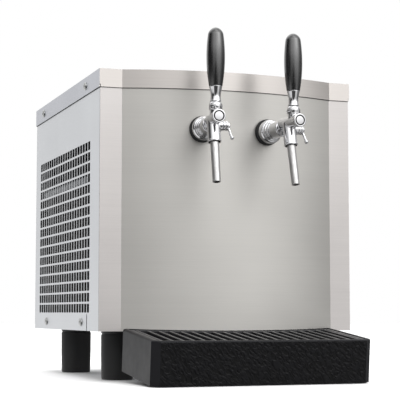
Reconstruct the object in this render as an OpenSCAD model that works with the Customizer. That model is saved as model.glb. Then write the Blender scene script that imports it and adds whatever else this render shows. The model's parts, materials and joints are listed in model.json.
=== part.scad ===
// Counter-top draft beer dispenser with two taps, a bowed steel front and a drip tray.
// Millimetres, +Z up. The front looks towards -Y and the feet stand on Z = 0.

/* [Cabinet] */
// Width across the side panels
body_w = 412; // [400:1:460]
// Depth from the flat front corner strips to the back
body_d = 442; // [432:1:500]
// Height from the bottom edge to the top of the lid
body_h = 395; // [385:1:450]
// Width of the flat strip at each front corner
strip_w = 34; // [20:1:45]
// How far the bowed front stands out in front of the strips
bow_rise = 30; // [18:1:40]
// Thickness of the sheet steel
sheet_t = 1.2; // [0.8:0.1:2]
// Height of the lid's skirt
lid_h = 28; // [20:1:36]
// Gap between the lid's skirt and the panels
lid_gap = 0.4; // [0.3:0.1:0.8]
// Gap where two folded sheets meet
seam_gap = 0.3; // [0.2:0.1:0.6]
// Width of the flanges folded inwards
flange_w = 16; // [12:1:24]
// Height of the base pan's upturned rim
pan_rim = 22; // [18:1:30]

/* [Side grilles] */
// Rows of punched holes
grille_rows = 16; // [8:1:17]
// Holes in each row
grille_cols = 21; // [10:1:22]
// Width of a hole
hole_w = 13.4; // [8:0.2:14]
// Height of a hole
hole_h = 13.4; // [9:0.2:14]
// Distance between columns
hole_pitch_y = 16.7; // [15:0.1:17]
// Distance between rows
hole_pitch_z = 16.7; // [15.5:0.1:17]
// Distance from the front strips to the first column
grille_y = 58; // [45:1:66]
// Height of the lowest row above the bottom edge
grille_z = 28; // [26:1:36]
// Height of the slit beside the base rail
slit_h = 25; // [16:1:25]
// Width of that slit
slit_w = 4; // [2:0.5:5]

/* [Feet] */
// Diameter of a rubber foot
foot_d = 51; // [40:1:60]
// Distance from a side panel to a foot's axis
foot_in = 53; // [53:1:66]
// Distance from the front strips to the front feet's axis
foot_front_y = 85; // [80:1:105]
// Distance from the back to the rear feet's axis
foot_rear_in = 94; // [62:1:117]

/* [Screws] */
// Shank diameter of a sheet screw
screw_d = 4; // [3:0.1:5]
// Head diameter of a sheet screw
screw_head_d = 13; // [10:0.2:14]
// Head height of a sheet screw
screw_head_h = 2.6; // [2:0.1:3.2]
// Radial clearance of a screw in its hole
screw_gap = 0.1; // [0.05:0.05:0.3]
// How far a screw reaches through the sheets
screw_reach = 4.6; // [3.8:0.2:4.8]

/* [Drip tray] */
// Width of the tray
tray_w = 338; // [300:1:340]
// Depth of the tray from the strips' plane to its front
tray_d = 154; // [140:1:180]
// Height of the tray
tray_h = 64; // [54:1:80]
// Forward slope of the tray
tray_slope = 5.9; // [3:0.1:8]
// How far the rear rim stands above the cabinet's bottom edge
tray_up = 4.6; // [0:0.1:5]
// Gap between the tray and the bowed front
tray_gap = 1; // [0.6:0.1:2]
// Gap under the tray's front edge
tray_floor_gap = 0.7; // [0.5:0.1:3]
// Width of the bevel at the front corners
tray_bevel = 11; // [6:1:16]
// Width of the rim around the grate
tray_rim = 6; // [5:0.5:8]
// Wall thickness below the grate's ledge
tray_wall = 10; // [9:0.5:13]
// Thickness of the tray's floor
tray_floor = 3; // [2:0.5:5]
// Thickness of the grate
grate_t = 6; // [4:0.5:9]
// Gap around the grate
grate_gap = 0.6; // [0.4:0.1:1]
// Number of slats
grate_slats = 20; // [14:1:24]
// Width of a slat
slat_w = 5; // [4:0.5:6]
// Width of the grate's border
grate_border = 6; // [5:0.5:9]

/* [Tray arms] */
// Distance from the middle to each arm
arm_x = 95; // [70:1:110]
// Width of the flat bar
arm_w = 24; // [18:1:30]
// Thickness of the flat bar
arm_t = 4; // [3:0.5:5]
// How far an arm reaches under the tray
arm_reach = 112; // [90:1:120]
// Gap between an arm and its tunnel
arm_gap = 0.4; // [0.3:0.1:0.8]
// Wall of the tunnel over an arm
tunnel_wall = 3; // [2:0.5:4]
// Height of the tunnel over an arm
tunnel_h = 9; // [8:0.5:12]

/* [Taps] */
// Distance from the middle to each tap's shank
tap_x = 53; // [46:1:75]
// Distance from the top of the lid down to the shanks
tap_down = 89.5; // [70:0.5:100]
// Diameter of the rubber wall gasket
gasket_d = 40.5; // [39:0.5:46]
// Thickness of the wall gasket
gasket_t = 6; // [3:0.5:8]
// Diameter of the chrome rosette
rosette_d = 37; // [36:0.5:38.5]
// Length of the rosette
rosette_l = 22; // [19:0.5:24]
// Shank diameter
shank_d = 16; // [14:0.5:17]
// Bore of the shank
shank_bore_d = 9.6; // [9:0.1:10.6]
// How far the shank reaches into the cabinet
shank_in = 45; // [36:1:55]
// Clearance of the shank in its holes
shank_gap = 0.3; // [0.2:0.1:0.6]
// Diameter of the barrel behind the step
barrel_d = 25; // [24.5:0.5:28]
// Diameter of the barrel in front of the step
nose_d = 18; // [17.5:0.5:19.5]
// Distance from the wall to the step
step_u = 52; // [50:0.5:54]
// Distance from the wall to the front cap's face
reach_u = 104; // [102:0.5:112]
// Thickness of the front cap
cap_t = 6; // [5:0.5:7]
// How far the nose's axis lies above the shank's axis
nose_rise = 5.5; // [4.5:0.1:6]
// Distance from the wall to the nozzle, at the height of the nose's axis
nozzle_u = 69; // [66:0.5:71]
// Diameter of the nozzle
nozzle_d = 20; // [18:0.5:22]
// How far the nozzle reaches below the shank's axis
nozzle_drop = 29.5; // [28:0.5:38]
// Length of the spout below the nozzle
spout_l = 61; // [45:1:70]
// Forward lean of the nozzle and the spout
spout_lean = 12; // [4:0.5:14]
// Diameter of the spout at its top
spout_top_d = 12.8; // [12.4:0.2:14]
// Diameter of the spout at its mouth
spout_mouth_d = 12; // [11:0.2:12.4]
// Bore of the spout
spout_bore_d = 9.4; // [8:0.2:9.8]

/* [Tap handles] */
// Distance from the wall to the handle's axis
handle_u = 84; // [83:0.5:85.5]
// Height of the ball pivot above the nose's axis
pivot_rise = 16.5; // [16:0.1:18]
// Diameter of the pivot ball
ball_d = 11; // [10:0.2:11.6]
// Forward lean of the stem's tail at rest, half of the handle's swing
tail_lean = 15; // [12:0.5:16]
// Across-corners size of the collar nut
collar_d = 20.6; // [20:0.2:23]
// Sides of the collar nut
collar_sides = 10; // [6:1:12]
// Radius of the collar's dome about the pivot
dome_r = 10.2; // [9.8:0.1:10.3]
// Gap between the dome and the ferrule
dome_gap = 0.4; // [0.3:0.1:0.6]
// Length of the ferrule
ferrule_l = 22.5; // [18:0.5:28]
// Length of the black grip
grip_l = 87; // [70:1:100]
// Diameter of the grip at its base
grip_base_d = 19.8; // [18:0.2:22]
// Largest diameter of the grip
grip_d = 27.2; // [24:0.2:30]
// Running clearance of moving spindles and plungers
run_gap = 0.05; // [0.03:0.01:0.09]
// Length of the flow lever's arm
flow_l = 18; // [12:1:22]

/* [Cooling unit] */
// Gap between a side panel's inner face and the condenser
cond_gap = 3.8; // [3.6:0.2:8]
// Length of the condenser
cond_l = 324; // [300:1:330]
// Thickness of the condenser
cond_t = 40; // [34:1:44]
// Height of the condenser's top channel above the bottom edge
cond_top = 241; // [225:1:260]
// Height of the channels
channel_h = 10; // [8:1:16]
// Number of fins
fin_count = 34; // [20:1:40]
// Thickness of a fin
fin_t = 0.8; // [0.5:0.1:1.2]
// Diameter of the fan
fan_d = 190; // [160:1:200]
// Diameter of the compressor's pot
pot_d = 140; // [120:1:146]
// Height of the compressor's pot
pot_h = 150; // [130:1:170]
// Wall of the compressor's pot
pot_wall = 10; // [6:1:14]
// Wall of the foam housing
foam_wall = 24; // [18:1:28]
// Outer diameter of a beer line
line_d = 9.5; // [8:0.1:10]
// Clearance of the lines in their holes
line_gap = 0.05; // [0.03:0.01:0.05]

/* [Rear fittings] */
// Distance from the middle to each beer inlet
inlet_x = 45; // [36:1:55]
// Distance from the top of the lid down to the beer inlets
inlet_down = 105; // [85:1:125]
// Diameter of a beer inlet's hose spigot
spigot_d = 8; // [7:0.1:10]
// Length of the hose spigot
spigot_l = 18; // [14:1:26]
// Diameter of the thermostat knob
knob_d = 34; // [28:1:40]
// Height of the thermostat knob
knob_h = 16; // [12:1:20]

/* [Hidden] */
$fn = 96;

// The feet are as tall as the sloping tray needs
foot_h = tray_d * sin(tray_slope) + tray_h * cos(tray_slope) - tray_up + tray_floor_gap;
floor_z = foot_h;
top_z = floor_z + body_h;
panel_h = body_h - sheet_t;
lid_over = sheet_t + lid_gap;
eps = 0.01;
cut = 1;
far = 1000;

// The bowed front is an arc between the two strips
chord = body_w - 2 * strip_w;
bow_r = (chord * chord / 4 + bow_rise * bow_rise) / (2 * bow_rise);
bow_y = bow_r - bow_rise;

// The origin lies under the middle of the bounding box
tray_front_y = -tray_d * cos(tray_slope);
hex_t = 6;
fitting_out = hex_t + spigot_l;
mid_y = (tray_front_y + body_d + fitting_out) / 2;

// Side panels and base pan
inset = sheet_t + seam_gap;
side_y0 = sheet_t + seam_gap;
side_l = body_d - 2 * side_y0;
side_screw_front = 49;
side_screw_back = 95;
side_screw_up = 13;
side_screw_y = [grille_y + side_screw_front, body_d - side_screw_back];
side_screw_z = floor_z + side_screw_up;
lid_screw_front = 25;
lid_screw_back = 64;
lid_screw_y = [grille_y + lid_screw_front, body_d - lid_screw_back];
lid_screw_z = top_z - lid_h / 2;
slit_back = 12;
slit_y = grille_y + slit_back;
rim_front = slit_y + slit_w + 1;
rim_inset = flange_w + 6;
screw_edge = 0.7;
corner_notch = 2 * sheet_t + 1;
corner_notch_h = 4;
screw_hole_r = screw_d / 2 + screw_gap;
rear_screw_x = body_w / 2 - flange_w / 2 - sheet_t;
rear_screw_up = 40;
rear_screw_down = 60;
rear_screw_z = [floor_z + rear_screw_up, top_z - rear_screw_down];

// Drip tray, in a frame at its rear rim that slopes forward
ledge_depth = grate_t + 1;
tunnel_w = arm_w + 2 * arm_gap + 2;
tunnel_end = 2;
rib_w = tunnel_w + 2 * tunnel_wall;
strap_y = 14;
strap_foot = 38;
arm_screw_d = 5;
arm_screw_y = [strap_y + 14, strap_y + 28];
slat_pitch = (tray_w - 2 * (tray_rim + grate_gap + grate_border)) / (grate_slats - 0.5);

// Foot screws
foot_x = body_w / 2 - foot_in;
foot_rear_y = body_d - foot_rear_in;
foot_screw_d = 6;
foot_screw_head_d = 10;
foot_screw_head_h = 4;
foot_screw_depth = 30;
foot_chamfer = 1.5;

// Taps, in a frame on the wall with -Y pointing out
tap_z = body_h - tap_down;
tap_turn = asin(tap_x / bow_r);
barrel_u = gasket_t + rosette_l;
shank_end_u = barrel_u + 8;
rosette_rim_l = 12;
rosette_mid_l = 17;
rosette_mid_d = rosette_d - 6;
rosette_nose_d = rosette_d - 9.5;
bore_join = 6;
seat_t = 2.7;
nose_bore_d = 12;
seat_hole_d = 7.2;
nozzle_bore_d = 10;
nozzle_l = (nozzle_drop + nose_rise) / cos(spout_lean);
nozzle_rim_d = nozzle_d + 0.8;
nozzle_rim_h = 2.5;
nozzle_socket_d = nozzle_d - 3;
nozzle_socket_l = 8;
spout_flange_h = 3;
cap_d = nose_d + 2.2;
cap_groove_d = cap_d - 4.4;
cap_disc_d = cap_d - 7.7;
cap_groove_t = 1.5;
elbow_turn = [33, 21, 0];
neck_d = 17;
pivot_z = nose_rise + pivot_rise;
collar_z = pivot_z - 5;
collar_top = pivot_z + 1;
slot_gap = 0.4;
ball_lip = 0.8;
pin_d = 3;
pin_reach = 7.4;
stem_short = 4;
nut_across = 30;
nut_h = 9;
nut_seat = 0.4;
swing = 2 * tail_lean;
tail_l = pivot_rise / cos(tail_lean);
tail_d = 4.4;
tail_ball_d = 5.2;
stem_d = 6;
neck_hole_d = 12.6;
ferrule_z = pivot_z + 7.4;
grip_z = ferrule_z + ferrule_l;
ferrule_skirt = 1;
ferrule_waist = 1.4;
ferrule_step = 0.3;
grip_shoulder = 0.875;
grip_steps = 14;
dome_steps = 6;
plug_d = nose_bore_d - 2 * run_gap;
plug_l = 1;
flow_z = -4;
flow_u = nozzle_u + (nose_rise - flow_z) * tan(spout_lean);
spindle_d = 6;
boss_d = 16;
boss_x = nozzle_d / 2 + 3;
flow_hub_l = 8;
flow_rod_d = 4;
flow_ball_d = 6;
flow_tip = [flow_l * 0.3, -flow_l * 0.25, -flow_l];
flow_root = 3;
flow_nut_l = 3;
plunger_rod_d = 5;
disc_t = 4;
disc_gap = 0.3;
disc_room = 1;
plunger_travel = 2 * pivot_rise * tan(tail_lean);
seat_u = shank_end_u + disc_room + plunger_travel + disc_t + disc_gap;
disc_d = nose_bore_d - 1.4;
yoke_l = 10.4;
tail_gap = 0.3;

// Cooling unit
pan_top = floor_z + sheet_t;
cond_x = -body_w / 2 + sheet_t + cond_gap;
cond_y = grille_y + 30;
cond_h = floor_z + cond_top - pan_top;
plate_t = 2;
tube_d = 9.5;
tube_rows = 7;
fan_x = cond_x + cond_t + plate_t;
fan_y = cond_y + cond_l / 2;
fan_z = pan_top + cond_h / 2;
fan_gap = 5;
blade_w = 22;
fan_clear = 3;
hub_d = 52;
motor_x = fan_x + plate_t + fan_clear + blade_w + fan_clear;
motor_l = 20;
post = 8;
fan_shaft_d = 6;
blade_count = 5;
blade_t = 2.4;
blade_pitch = 35;
pot_side_gap = 26;
pot_back_gap = 42;
pot_x = body_w / 2 - pot_d / 2 - pot_side_gap;
pot_y = body_d - pot_d / 2 - pot_back_gap;
pot_foot = 4;
pot_edge = 6;
pot_side_h = pot_h * 0.75;
pot_top_r = pot_d * 0.3;
grommet_tip = 2;
grommet_h = 14;
grommet_d = 22;
pot_z = pan_top + grommet_h + pot_foot;
foam_fan_gap = 8;
foam_side_gap = 76;
foam_front_gap = 6;
foam_back_gap = 35;
foam_top_gap = 50;
foam_x0 = motor_x + motor_l + foam_fan_gap;
foam_x1 = body_w / 2 - foam_side_gap;
foam_y0 = shank_in + foam_front_gap;
foam_y1 = pot_y - pot_d / 2 - pot_edge - foam_back_gap;
foam_z0 = pan_top;
foam_z1 = top_z - foam_top_gap;
block_gap = 1;
block_seat = 18;
block_wall = 26;
block_side = 16;
block_y0 = foam_y0 + foam_wall + block_gap;
block_y1 = foam_y1 - foam_wall - block_gap;
wall_y = bow_y - sqrt(bow_r * bow_r - tap_x * tap_x);
outlet_u = (block_y0 + block_seat - wall_y) / cos(tap_turn);
inlet_end_y = block_y1 - block_seat;
lid_foam_t = 20;
inlet_line_z = top_z - inlet_down;
pipe_r = 4;
thin_pipe_r = 3;
bead = 0.4;
pipe_seat = 0.3;
loop_out = 12;
drier_d = 22;
drier_tail_d = 8;
drier_cone = 12;
drier_l = 100;
drier_in = 70;
drier_back = 40;
drier_up = 20;
pipe_low = 22;
drier_x = foam_x0 + drier_in;
drier_y = foam_y1 + drier_back;
low_z = pan_top + pipe_low;
drier_z = low_z + drier_up;

// Rear fittings
hex_d = 22;
stub_d = hex_d / 2;
stub_l = 20;
back_nut_t = 8;
line_seat = 4;
knob_x = -120;
knob_down = 65;
knob_z = top_z - knob_down;
spindle_r = 3;
knob_rim = 4;
knob_grip_d = knob_d - 7;
pointer_w = 3;
pointer_l = knob_d * 0.38;
pointer_in = 2;
spindle_end = 6;
thermo_box = [44, 34, 36];
switch_x = -120;
switch_down = 123;
switch_z = top_z - switch_down;
switch_w = 30;
switch_hgt = 22;
switch_lip = 3;
switch_depth = 24;
rocker_w = 22;
rocker_hgt = 15;
rocker_tilt = 10;
rocker_pin_r = 1.5;
rocker_pin_l = 0.8;
rocker_room = 10;
rocker_back = 3;
rocker_edge = 5;
rocker_dip = 3.4;
rocker_side = 2;
rocker_play = 0.4;
rocker_half = rocker_hgt / 2 - 1.4;
socket_x = -100;
socket_up = 70;
socket_z = floor_z + socket_up;
socket_w = 48;
socket_hgt = 28;
socket_in_w = 24;
socket_in_h = 16.5;
socket_ear = 8;
socket_depth = 16;
vent_slots = 14;
vent_slot_w = 6;
vent_slot_h = 90;
vent_pitch = 14;
vent_x = 85;
vent_up = 130;
vent_z = floor_z + vent_up;

// Helpers

// Moves the model so that the origin lies under its middle
module placed() translate([0, -mid_y, 0]) children();

// Cabinet outline seen from above, drawn in by a distance
module plan(by) {
    translate([-body_w / 2 + by, by])
        square([body_w - 2 * by, body_d - 2 * by]);
    intersection() {
        translate([0, bow_y]) circle(bow_r - by, $fn = 360);
        translate([-body_w / 2 + by, -bow_rise - cut - lid_over])
            square([body_w - 2 * by, bow_rise + 2 * cut + lid_over + by]);
    }
}

// Wall frame of one tap: side is -1 on the left and 1 on the right
module on_wall(side) {
    translate([side * tap_x, wall_y, floor_z + tap_z])
        rotate([0, 0, side * tap_turn])
            children();
}

// Round bar along a tap's outward axis, from u0 to u1
module out(u0, u1, d, z = 0) {
    translate([0, -u0, z]) rotate([90, 0, 0]) cylinder(d = d, h = u1 - u0);
}

// Round bar along +X
module across(x0, x1, d) {
    translate([x0, 0, 0]) rotate([0, 90, 0]) cylinder(d = d, h = x1 - x0);
}

// Round bar along +Y
module back(y0, y1, d) {
    translate([0, y0, 0]) rotate([-90, 0, 0]) cylinder(d = d, h = y1 - y0);
}

// Round bar between two points
module rod(a, b, r) {
    d = b - a;
    l = norm(d);
    translate(a) rotate([0, acos(d.z / l), atan2(d.y, d.x)]) cylinder(r = r, h = l);
}

// Bent pipe through a row of points
module pipe(points, r) {
    for (i = [0 : len(points) - 2]) rod(points[i], points[i + 1], r);
    for (i = [1 : len(points) - 2]) translate(points[i]) rotate(elbow_turn) sphere(r + bead);
}

// Frame of the sloping tray
module on_tray() {
    translate([0, 0, floor_z + tray_up]) rotate([tray_slope, 0, 0]) children();
}

// Point of the sloping frame, in the cabinet's YZ plane
function tray_point(y, z) = [
    y * cos(tray_slope) - z * sin(tray_slope),
    floor_z + tray_up + y * sin(tray_slope) + z * cos(tray_slope)
];

// Height, at a given Y, of a line that runs parallel to the tray's rim
function tray_line(y, z) = floor_z + tray_up + y * tan(tray_slope) + z / cos(tray_slope);

// Tray outline seen square to its rim, drawn in by a distance
module tray_plan(by) {
    w = tray_w / 2 - by;
    d = tray_d - by;
    b = tray_bevel - by * (2 - sqrt(2));
    difference() {
        polygon([[-w, 0], [-w, -d + b], [-w + b, -d], [w - b, -d], [w, -d + b], [w, 0]]);
        translate([0, bow_y]) circle(bow_r + tray_gap + by, $fn = 360);
    }
}

// Holes for the sheet screws of the sides, through everything at those places
module side_screw_holes() {
    for (y = side_screw_y) translate([0, y, side_screw_z]) across(-body_w, body_w, 2 * screw_hole_r);
    for (y = lid_screw_y) translate([0, y, lid_screw_z]) across(-body_w, body_w, 2 * screw_hole_r);
}

module rear_screw_holes() {
    for (sx = [-1, 1], z = rear_screw_z) {
        translate([sx * rear_screw_x, 0, z]) back(body_d - flange_w, body_d + cut, 2 * screw_hole_r);
    }
}

module foot_places() {
    for (sx = [-1, 1], y = [foot_front_y, foot_rear_y]) translate([sx * foot_x, y, 0]) children();
}

// Cabinet

module base_pan() {
    color("silver") difference() {
        union() {
            translate([0, 0, floor_z]) linear_extrude(sheet_t) plan(inset);
            for (sx = [-1, 1]) {
                translate([sx * (body_w / 2 - inset - sheet_t / 2) - sheet_t / 2, rim_front, floor_z])
                    cube([sheet_t, body_d - rim_inset - rim_front, pan_rim]);
            }
        }
        side_screw_holes();
        foot_places() cylinder(d = foot_screw_d + 2 * screw_gap, h = far);
        for (sx = [-1, 1], y = arm_screw_y) {
            translate([sx * arm_x, y, 0]) cylinder(d = arm_screw_d + 2 * screw_gap, h = far);
        }
    }
}

module front_panel() {
    color("gainsboro") difference() {
        union() {
            translate([0, 0, floor_z]) linear_extrude(panel_h) intersection() {
                difference() {
                    plan(0);
                    plan(sheet_t);
                }
                translate([-body_w / 2, -bow_rise - cut]) square([body_w, bow_rise + cut + sheet_t]);
            }
            for (sx = [-1, 1]) {
                translate([sx * (body_w / 2 - inset - sheet_t / 2) - sheet_t / 2, eps, floor_z + pan_rim])
                    cube([sheet_t, flange_w, panel_h - pan_rim - lid_h]);
            }
        }
        for (side = [-1, 1]) on_wall(side) out(-shank_in, shank_in, shank_d + 2 * shank_gap);
    }
}

// Punched side sheet lying in the YZ plane at X = 0, with its thickness towards +X
module side_sheet() {
    rotate([90, 0, 90]) linear_extrude(sheet_t) difference() {
        translate([side_y0, floor_z]) square([side_l, panel_h]);
        for (c = [0 : grille_cols - 1], r = [0 : grille_rows - 1]) {
            translate([grille_y + c * hole_pitch_y, floor_z + grille_z + r * hole_pitch_z])
                square([hole_w, hole_h]);
        }
        translate([slit_y, floor_z - cut]) square([slit_w, slit_h + cut]);
    }
}

module side_panel(side) {
    x = side < 0 ? -body_w / 2 : body_w / 2 - sheet_t;
    fx = side < 0 ? -body_w / 2 : body_w / 2 - flange_w;
    color("lightgray") difference() {
        union() {
            translate([x, 0, 0]) side_sheet();
            translate([fx, body_d - side_y0 - sheet_t, floor_z + inset])
                cube([flange_w, sheet_t, panel_h - inset]);
        }
        side_screw_holes();
        rear_screw_holes();
    }
}

module rear_panel() {
    color("lightgray") difference() {
        translate([-body_w / 2, body_d - sheet_t, floor_z]) cube([body_w, sheet_t, panel_h]);
        rear_screw_holes();
        for (sx = [-1, 1]) {
            translate([sx * inlet_x, 0, inlet_line_z]) back(0, far, stub_d + 2 * shank_gap);
        }
        translate([knob_x, 0, knob_z]) back(0, far, 2 * spindle_r + 2 * shank_gap);
        translate([switch_x - switch_w / 2 + switch_lip, 0, switch_z - switch_hgt / 2 + switch_lip])
            cube([switch_w - 2 * switch_lip, far, switch_hgt - 2 * switch_lip]);
        translate([socket_x - socket_w / 2 + socket_ear, 0, socket_z - socket_hgt / 2 + switch_lip])
            cube([socket_w - 2 * socket_ear, far, socket_hgt - 2 * switch_lip]);
        for (i = [0 : vent_slots - 1]) {
            x = vent_x + (i - (vent_slots - 1) / 2) * vent_pitch;
            translate([x - vent_slot_w / 2, 0, vent_z - vent_slot_h / 2])
                cube([vent_slot_w, far, vent_slot_h]);
        }
    }
}

module top_lid() {
    color("whitesmoke") difference() {
        translate([0, 0, top_z - lid_h]) linear_extrude(lid_h) plan(-lid_over);
        translate([0, 0, top_z - lid_h - cut]) linear_extrude(lid_h - sheet_t + cut) plan(-lid_gap);
        for (y = lid_screw_y) translate([0, y, lid_screw_z]) across(-body_w, body_w, 2 * screw_hole_r);
        for (sx = [-1, 1]) {
            translate([sx * (body_w / 2 + lid_over), -lid_over, top_z - lid_h + corner_notch_h / 2 - cut])
                cube([corner_notch, corner_notch, corner_notch_h + 2 * cut], center = true);
        }
    }
}

// One pan-head screw whose head sits on X = 0 and whose shank points to +X
module sheet_screw() {
    dome_h = screw_head_h - screw_edge;
    dome_s = (screw_head_d * screw_head_d / 4 + dome_h * dome_h) / (2 * dome_h);
    across(-screw_edge, 0, screw_head_d);
    intersection() {
        across(-screw_head_h, -screw_edge, screw_head_d);
        translate([dome_s - screw_head_h, 0, 0]) sphere(dome_s);
    }
    across(-screw_edge, screw_reach, screw_d);
}

module panel_screws() {
    color("silver") {
        for (sx = [-1, 1]) {
            turn = sx < 0 ? 0 : 180;
            for (y = side_screw_y) {
                translate([sx * body_w / 2, y, side_screw_z]) rotate([0, 0, turn]) sheet_screw();
            }
            for (y = lid_screw_y) {
                translate([sx * (body_w / 2 + lid_over), y, lid_screw_z]) rotate([0, 0, turn]) sheet_screw();
            }
            for (z = rear_screw_z) {
                translate([sx * rear_screw_x, body_d, z]) rotate([0, 0, -90]) sheet_screw();
            }
        }
    }
}

module base_screws() {
    color("dimgray") {
        foot_places() {
            translate([0, 0, pan_top]) cylinder(d = foot_screw_head_d, h = foot_screw_head_h);
            translate([0, 0, pan_top - sheet_t - foot_screw_depth])
                cylinder(d = foot_screw_d, h = foot_screw_depth + sheet_t + eps);
        }
        for (sx = [-1, 1], y = arm_screw_y) translate([sx * arm_x, y, 0]) {
            translate([0, 0, floor_z - arm_t - screw_head_h])
                cylinder(d = 2 * arm_screw_d, h = screw_head_h);
            translate([0, 0, floor_z - arm_t - eps])
                cylinder(d = arm_screw_d, h = arm_t + sheet_t + screw_reach);
        }
    }
}

module feet() {
    color("#1c1c1c") foot_places() difference() {
        union() {
            cylinder(d1 = foot_d - 2 * foot_chamfer, d2 = foot_d, h = foot_chamfer);
            translate([0, 0, foot_chamfer]) cylinder(d = foot_d, h = floor_z - foot_chamfer);
        }
        translate([0, 0, floor_z - foot_screw_depth - cut])
            cylinder(d = foot_screw_d + 2 * screw_gap, h = foot_screw_depth + 2 * cut);
    }
}

// Drip tray

module tray_arms() {
    top = tunnel_h - tray_h - arm_gap;
    low = top - arm_t;
    rear = strap_y + arm_t;
    profile = [
        tray_point(-arm_reach, top), tray_point(-arm_reach, low), [rear, tray_line(rear, low)],
        [rear, floor_z - arm_t], [strap_y + strap_foot, floor_z - arm_t], [strap_y + strap_foot, floor_z],
        [strap_y, floor_z], [strap_y, tray_line(strap_y, top)]
    ];
    color("dimgray") for (sx = [-1, 1]) translate([sx * arm_x - arm_w / 2, 0, 0]) difference() {
        rotate([90, 0, 90]) linear_extrude(arm_w) polygon(profile);
        for (y = arm_screw_y) {
            translate([arm_w / 2, y, 0]) cylinder(d = arm_screw_d + 2 * screw_gap, h = far);
        }
    }
}

module drip_tray() {
    color("#2a2a2d") on_tray() difference() {
        translate([0, 0, -tray_h]) linear_extrude(tray_h) tray_plan(0);
        translate([0, 0, -ledge_depth]) linear_extrude(ledge_depth + cut) tray_plan(tray_rim);
        difference() {
            translate([0, 0, -tray_h + tray_floor]) linear_extrude(tray_h) tray_plan(tray_wall);
            for (sx = [-1, 1]) {
                translate([sx * arm_x - rib_w / 2, -arm_reach - tunnel_wall - tunnel_end, -tray_h])
                    cube([rib_w, far, tunnel_h + tunnel_wall]);
            }
        }
        for (sx = [-1, 1]) {
            translate([sx * arm_x - tunnel_w / 2, -arm_reach - tunnel_end, -tray_h - cut])
                cube([tunnel_w, far, tunnel_h + cut]);
        }
    }
}

module drip_grate() {
    edge = tray_rim + grate_gap;
    color("#333336") on_tray() translate([0, 0, -ledge_depth + eps]) {
        linear_extrude(grate_t) {
            difference() {
                tray_plan(edge);
                tray_plan(edge + grate_border);
            }
            intersection() {
                tray_plan(edge);
                for (i = [0 : grate_slats - 1]) {
                    x = (i - (grate_slats - 1) / 2) * slat_pitch;
                    translate([x - slat_w / 2, -tray_d]) square([slat_w, tray_d]);
                }
            }
        }
    }
}

// Taps, each drawn in its wall frame

module wall_gasket() {
    color("#151515") difference() {
        out(0, gasket_t, gasket_d);
        out(-cut, gasket_t + cut, shank_d + 2 * shank_gap);
    }
}

module rosette() {
    color("silver") difference() {
        union() {
            out(gasket_t, gasket_t + rosette_rim_l, rosette_d);
            out(gasket_t, gasket_t + rosette_mid_l, rosette_mid_d);
            out(gasket_t, gasket_t + rosette_l, rosette_nose_d);
        }
        out(0, barrel_u + cut, shank_d + 2 * shank_gap);
    }
}

module shank() {
    color("silver") difference() {
        out(-shank_in, shank_end_u, shank_d);
        out(-shank_in - cut, shank_end_u + cut, shank_bore_d);
    }
}

module shank_nut() {
    color("silver") difference() {
        translate([0, sheet_t + nut_seat, 0]) rotate([-90, 0, 0])
            cylinder(d = nut_across, h = nut_h, $fn = 6);
        out(-far, far, shank_d + 2 * line_gap);
    }
}

// Places its children on the leaning axis of the nozzle, at a height above the nozzle's lower end
module at_nozzle(up = 0) {
    translate([0, -nozzle_u, nose_rise]) rotate([-spout_lean, 0, 0]) translate([0, 0, up - nozzle_l])
        children();
}

module tap_body() {
    color("silver") difference() {
        union() {
            out(barrel_u, step_u, barrel_d);
            out(step_u - cut, reach_u - cap_t, nose_d, nose_rise);
            at_nozzle() cylinder(d = nozzle_d, h = nozzle_l);
            at_nozzle() cylinder(d = nozzle_rim_d, h = nozzle_rim_h);
            translate([0, -handle_u, nose_rise]) cylinder(d = neck_d, h = collar_z - nose_rise);
            translate([0, -flow_u, flow_z]) across(0, boss_x, boss_d);
        }
        out(barrel_u - cut, shank_end_u, shank_d + 2 * shank_gap);
        out(barrel_u, shank_end_u + bore_join, shank_bore_d);
        out(shank_end_u, seat_u, nose_bore_d, nose_rise);
        out(seat_u - cut, seat_u + seat_t + cut, seat_hole_d, nose_rise);
        out(seat_u + seat_t, reach_u, nose_bore_d, nose_rise);
        at_nozzle(-cut) cylinder(d = nozzle_bore_d, h = nozzle_l);
        at_nozzle(-cut) cylinder(d = nozzle_socket_d, h = nozzle_socket_l + cut);
        translate([0, -handle_u, nose_rise]) cylinder(d = neck_hole_d, h = far);
        translate([0, -flow_u, flow_z]) across(0, boss_x + cut, spindle_d + 2 * run_gap);
    }
}

module front_cap() {
    color("silver") difference() {
        union() {
            out(reach_u - cap_t, reach_u, cap_d, nose_rise);
            out(reach_u - cap_t - plug_l, reach_u, plug_d, nose_rise);
        }
        difference() {
            out(reach_u - cap_groove_t, reach_u + cut, cap_groove_d, nose_rise);
            out(reach_u - 2 * cap_groove_t, reach_u + 2 * cut, cap_disc_d, nose_rise);
        }
    }
}

module spout() {
    color("silver") difference() {
        union() {
            at_nozzle(nozzle_socket_l - spout_flange_h)
                cylinder(d = nozzle_socket_d - 2 * run_gap, h = spout_flange_h);
            at_nozzle(-spout_l)
                cylinder(d1 = spout_mouth_d, d2 = spout_top_d, h = spout_l + nozzle_socket_l - eps);
        }
        at_nozzle(-spout_l - cut) cylinder(d = spout_bore_d, h = far);
    }
}

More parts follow.
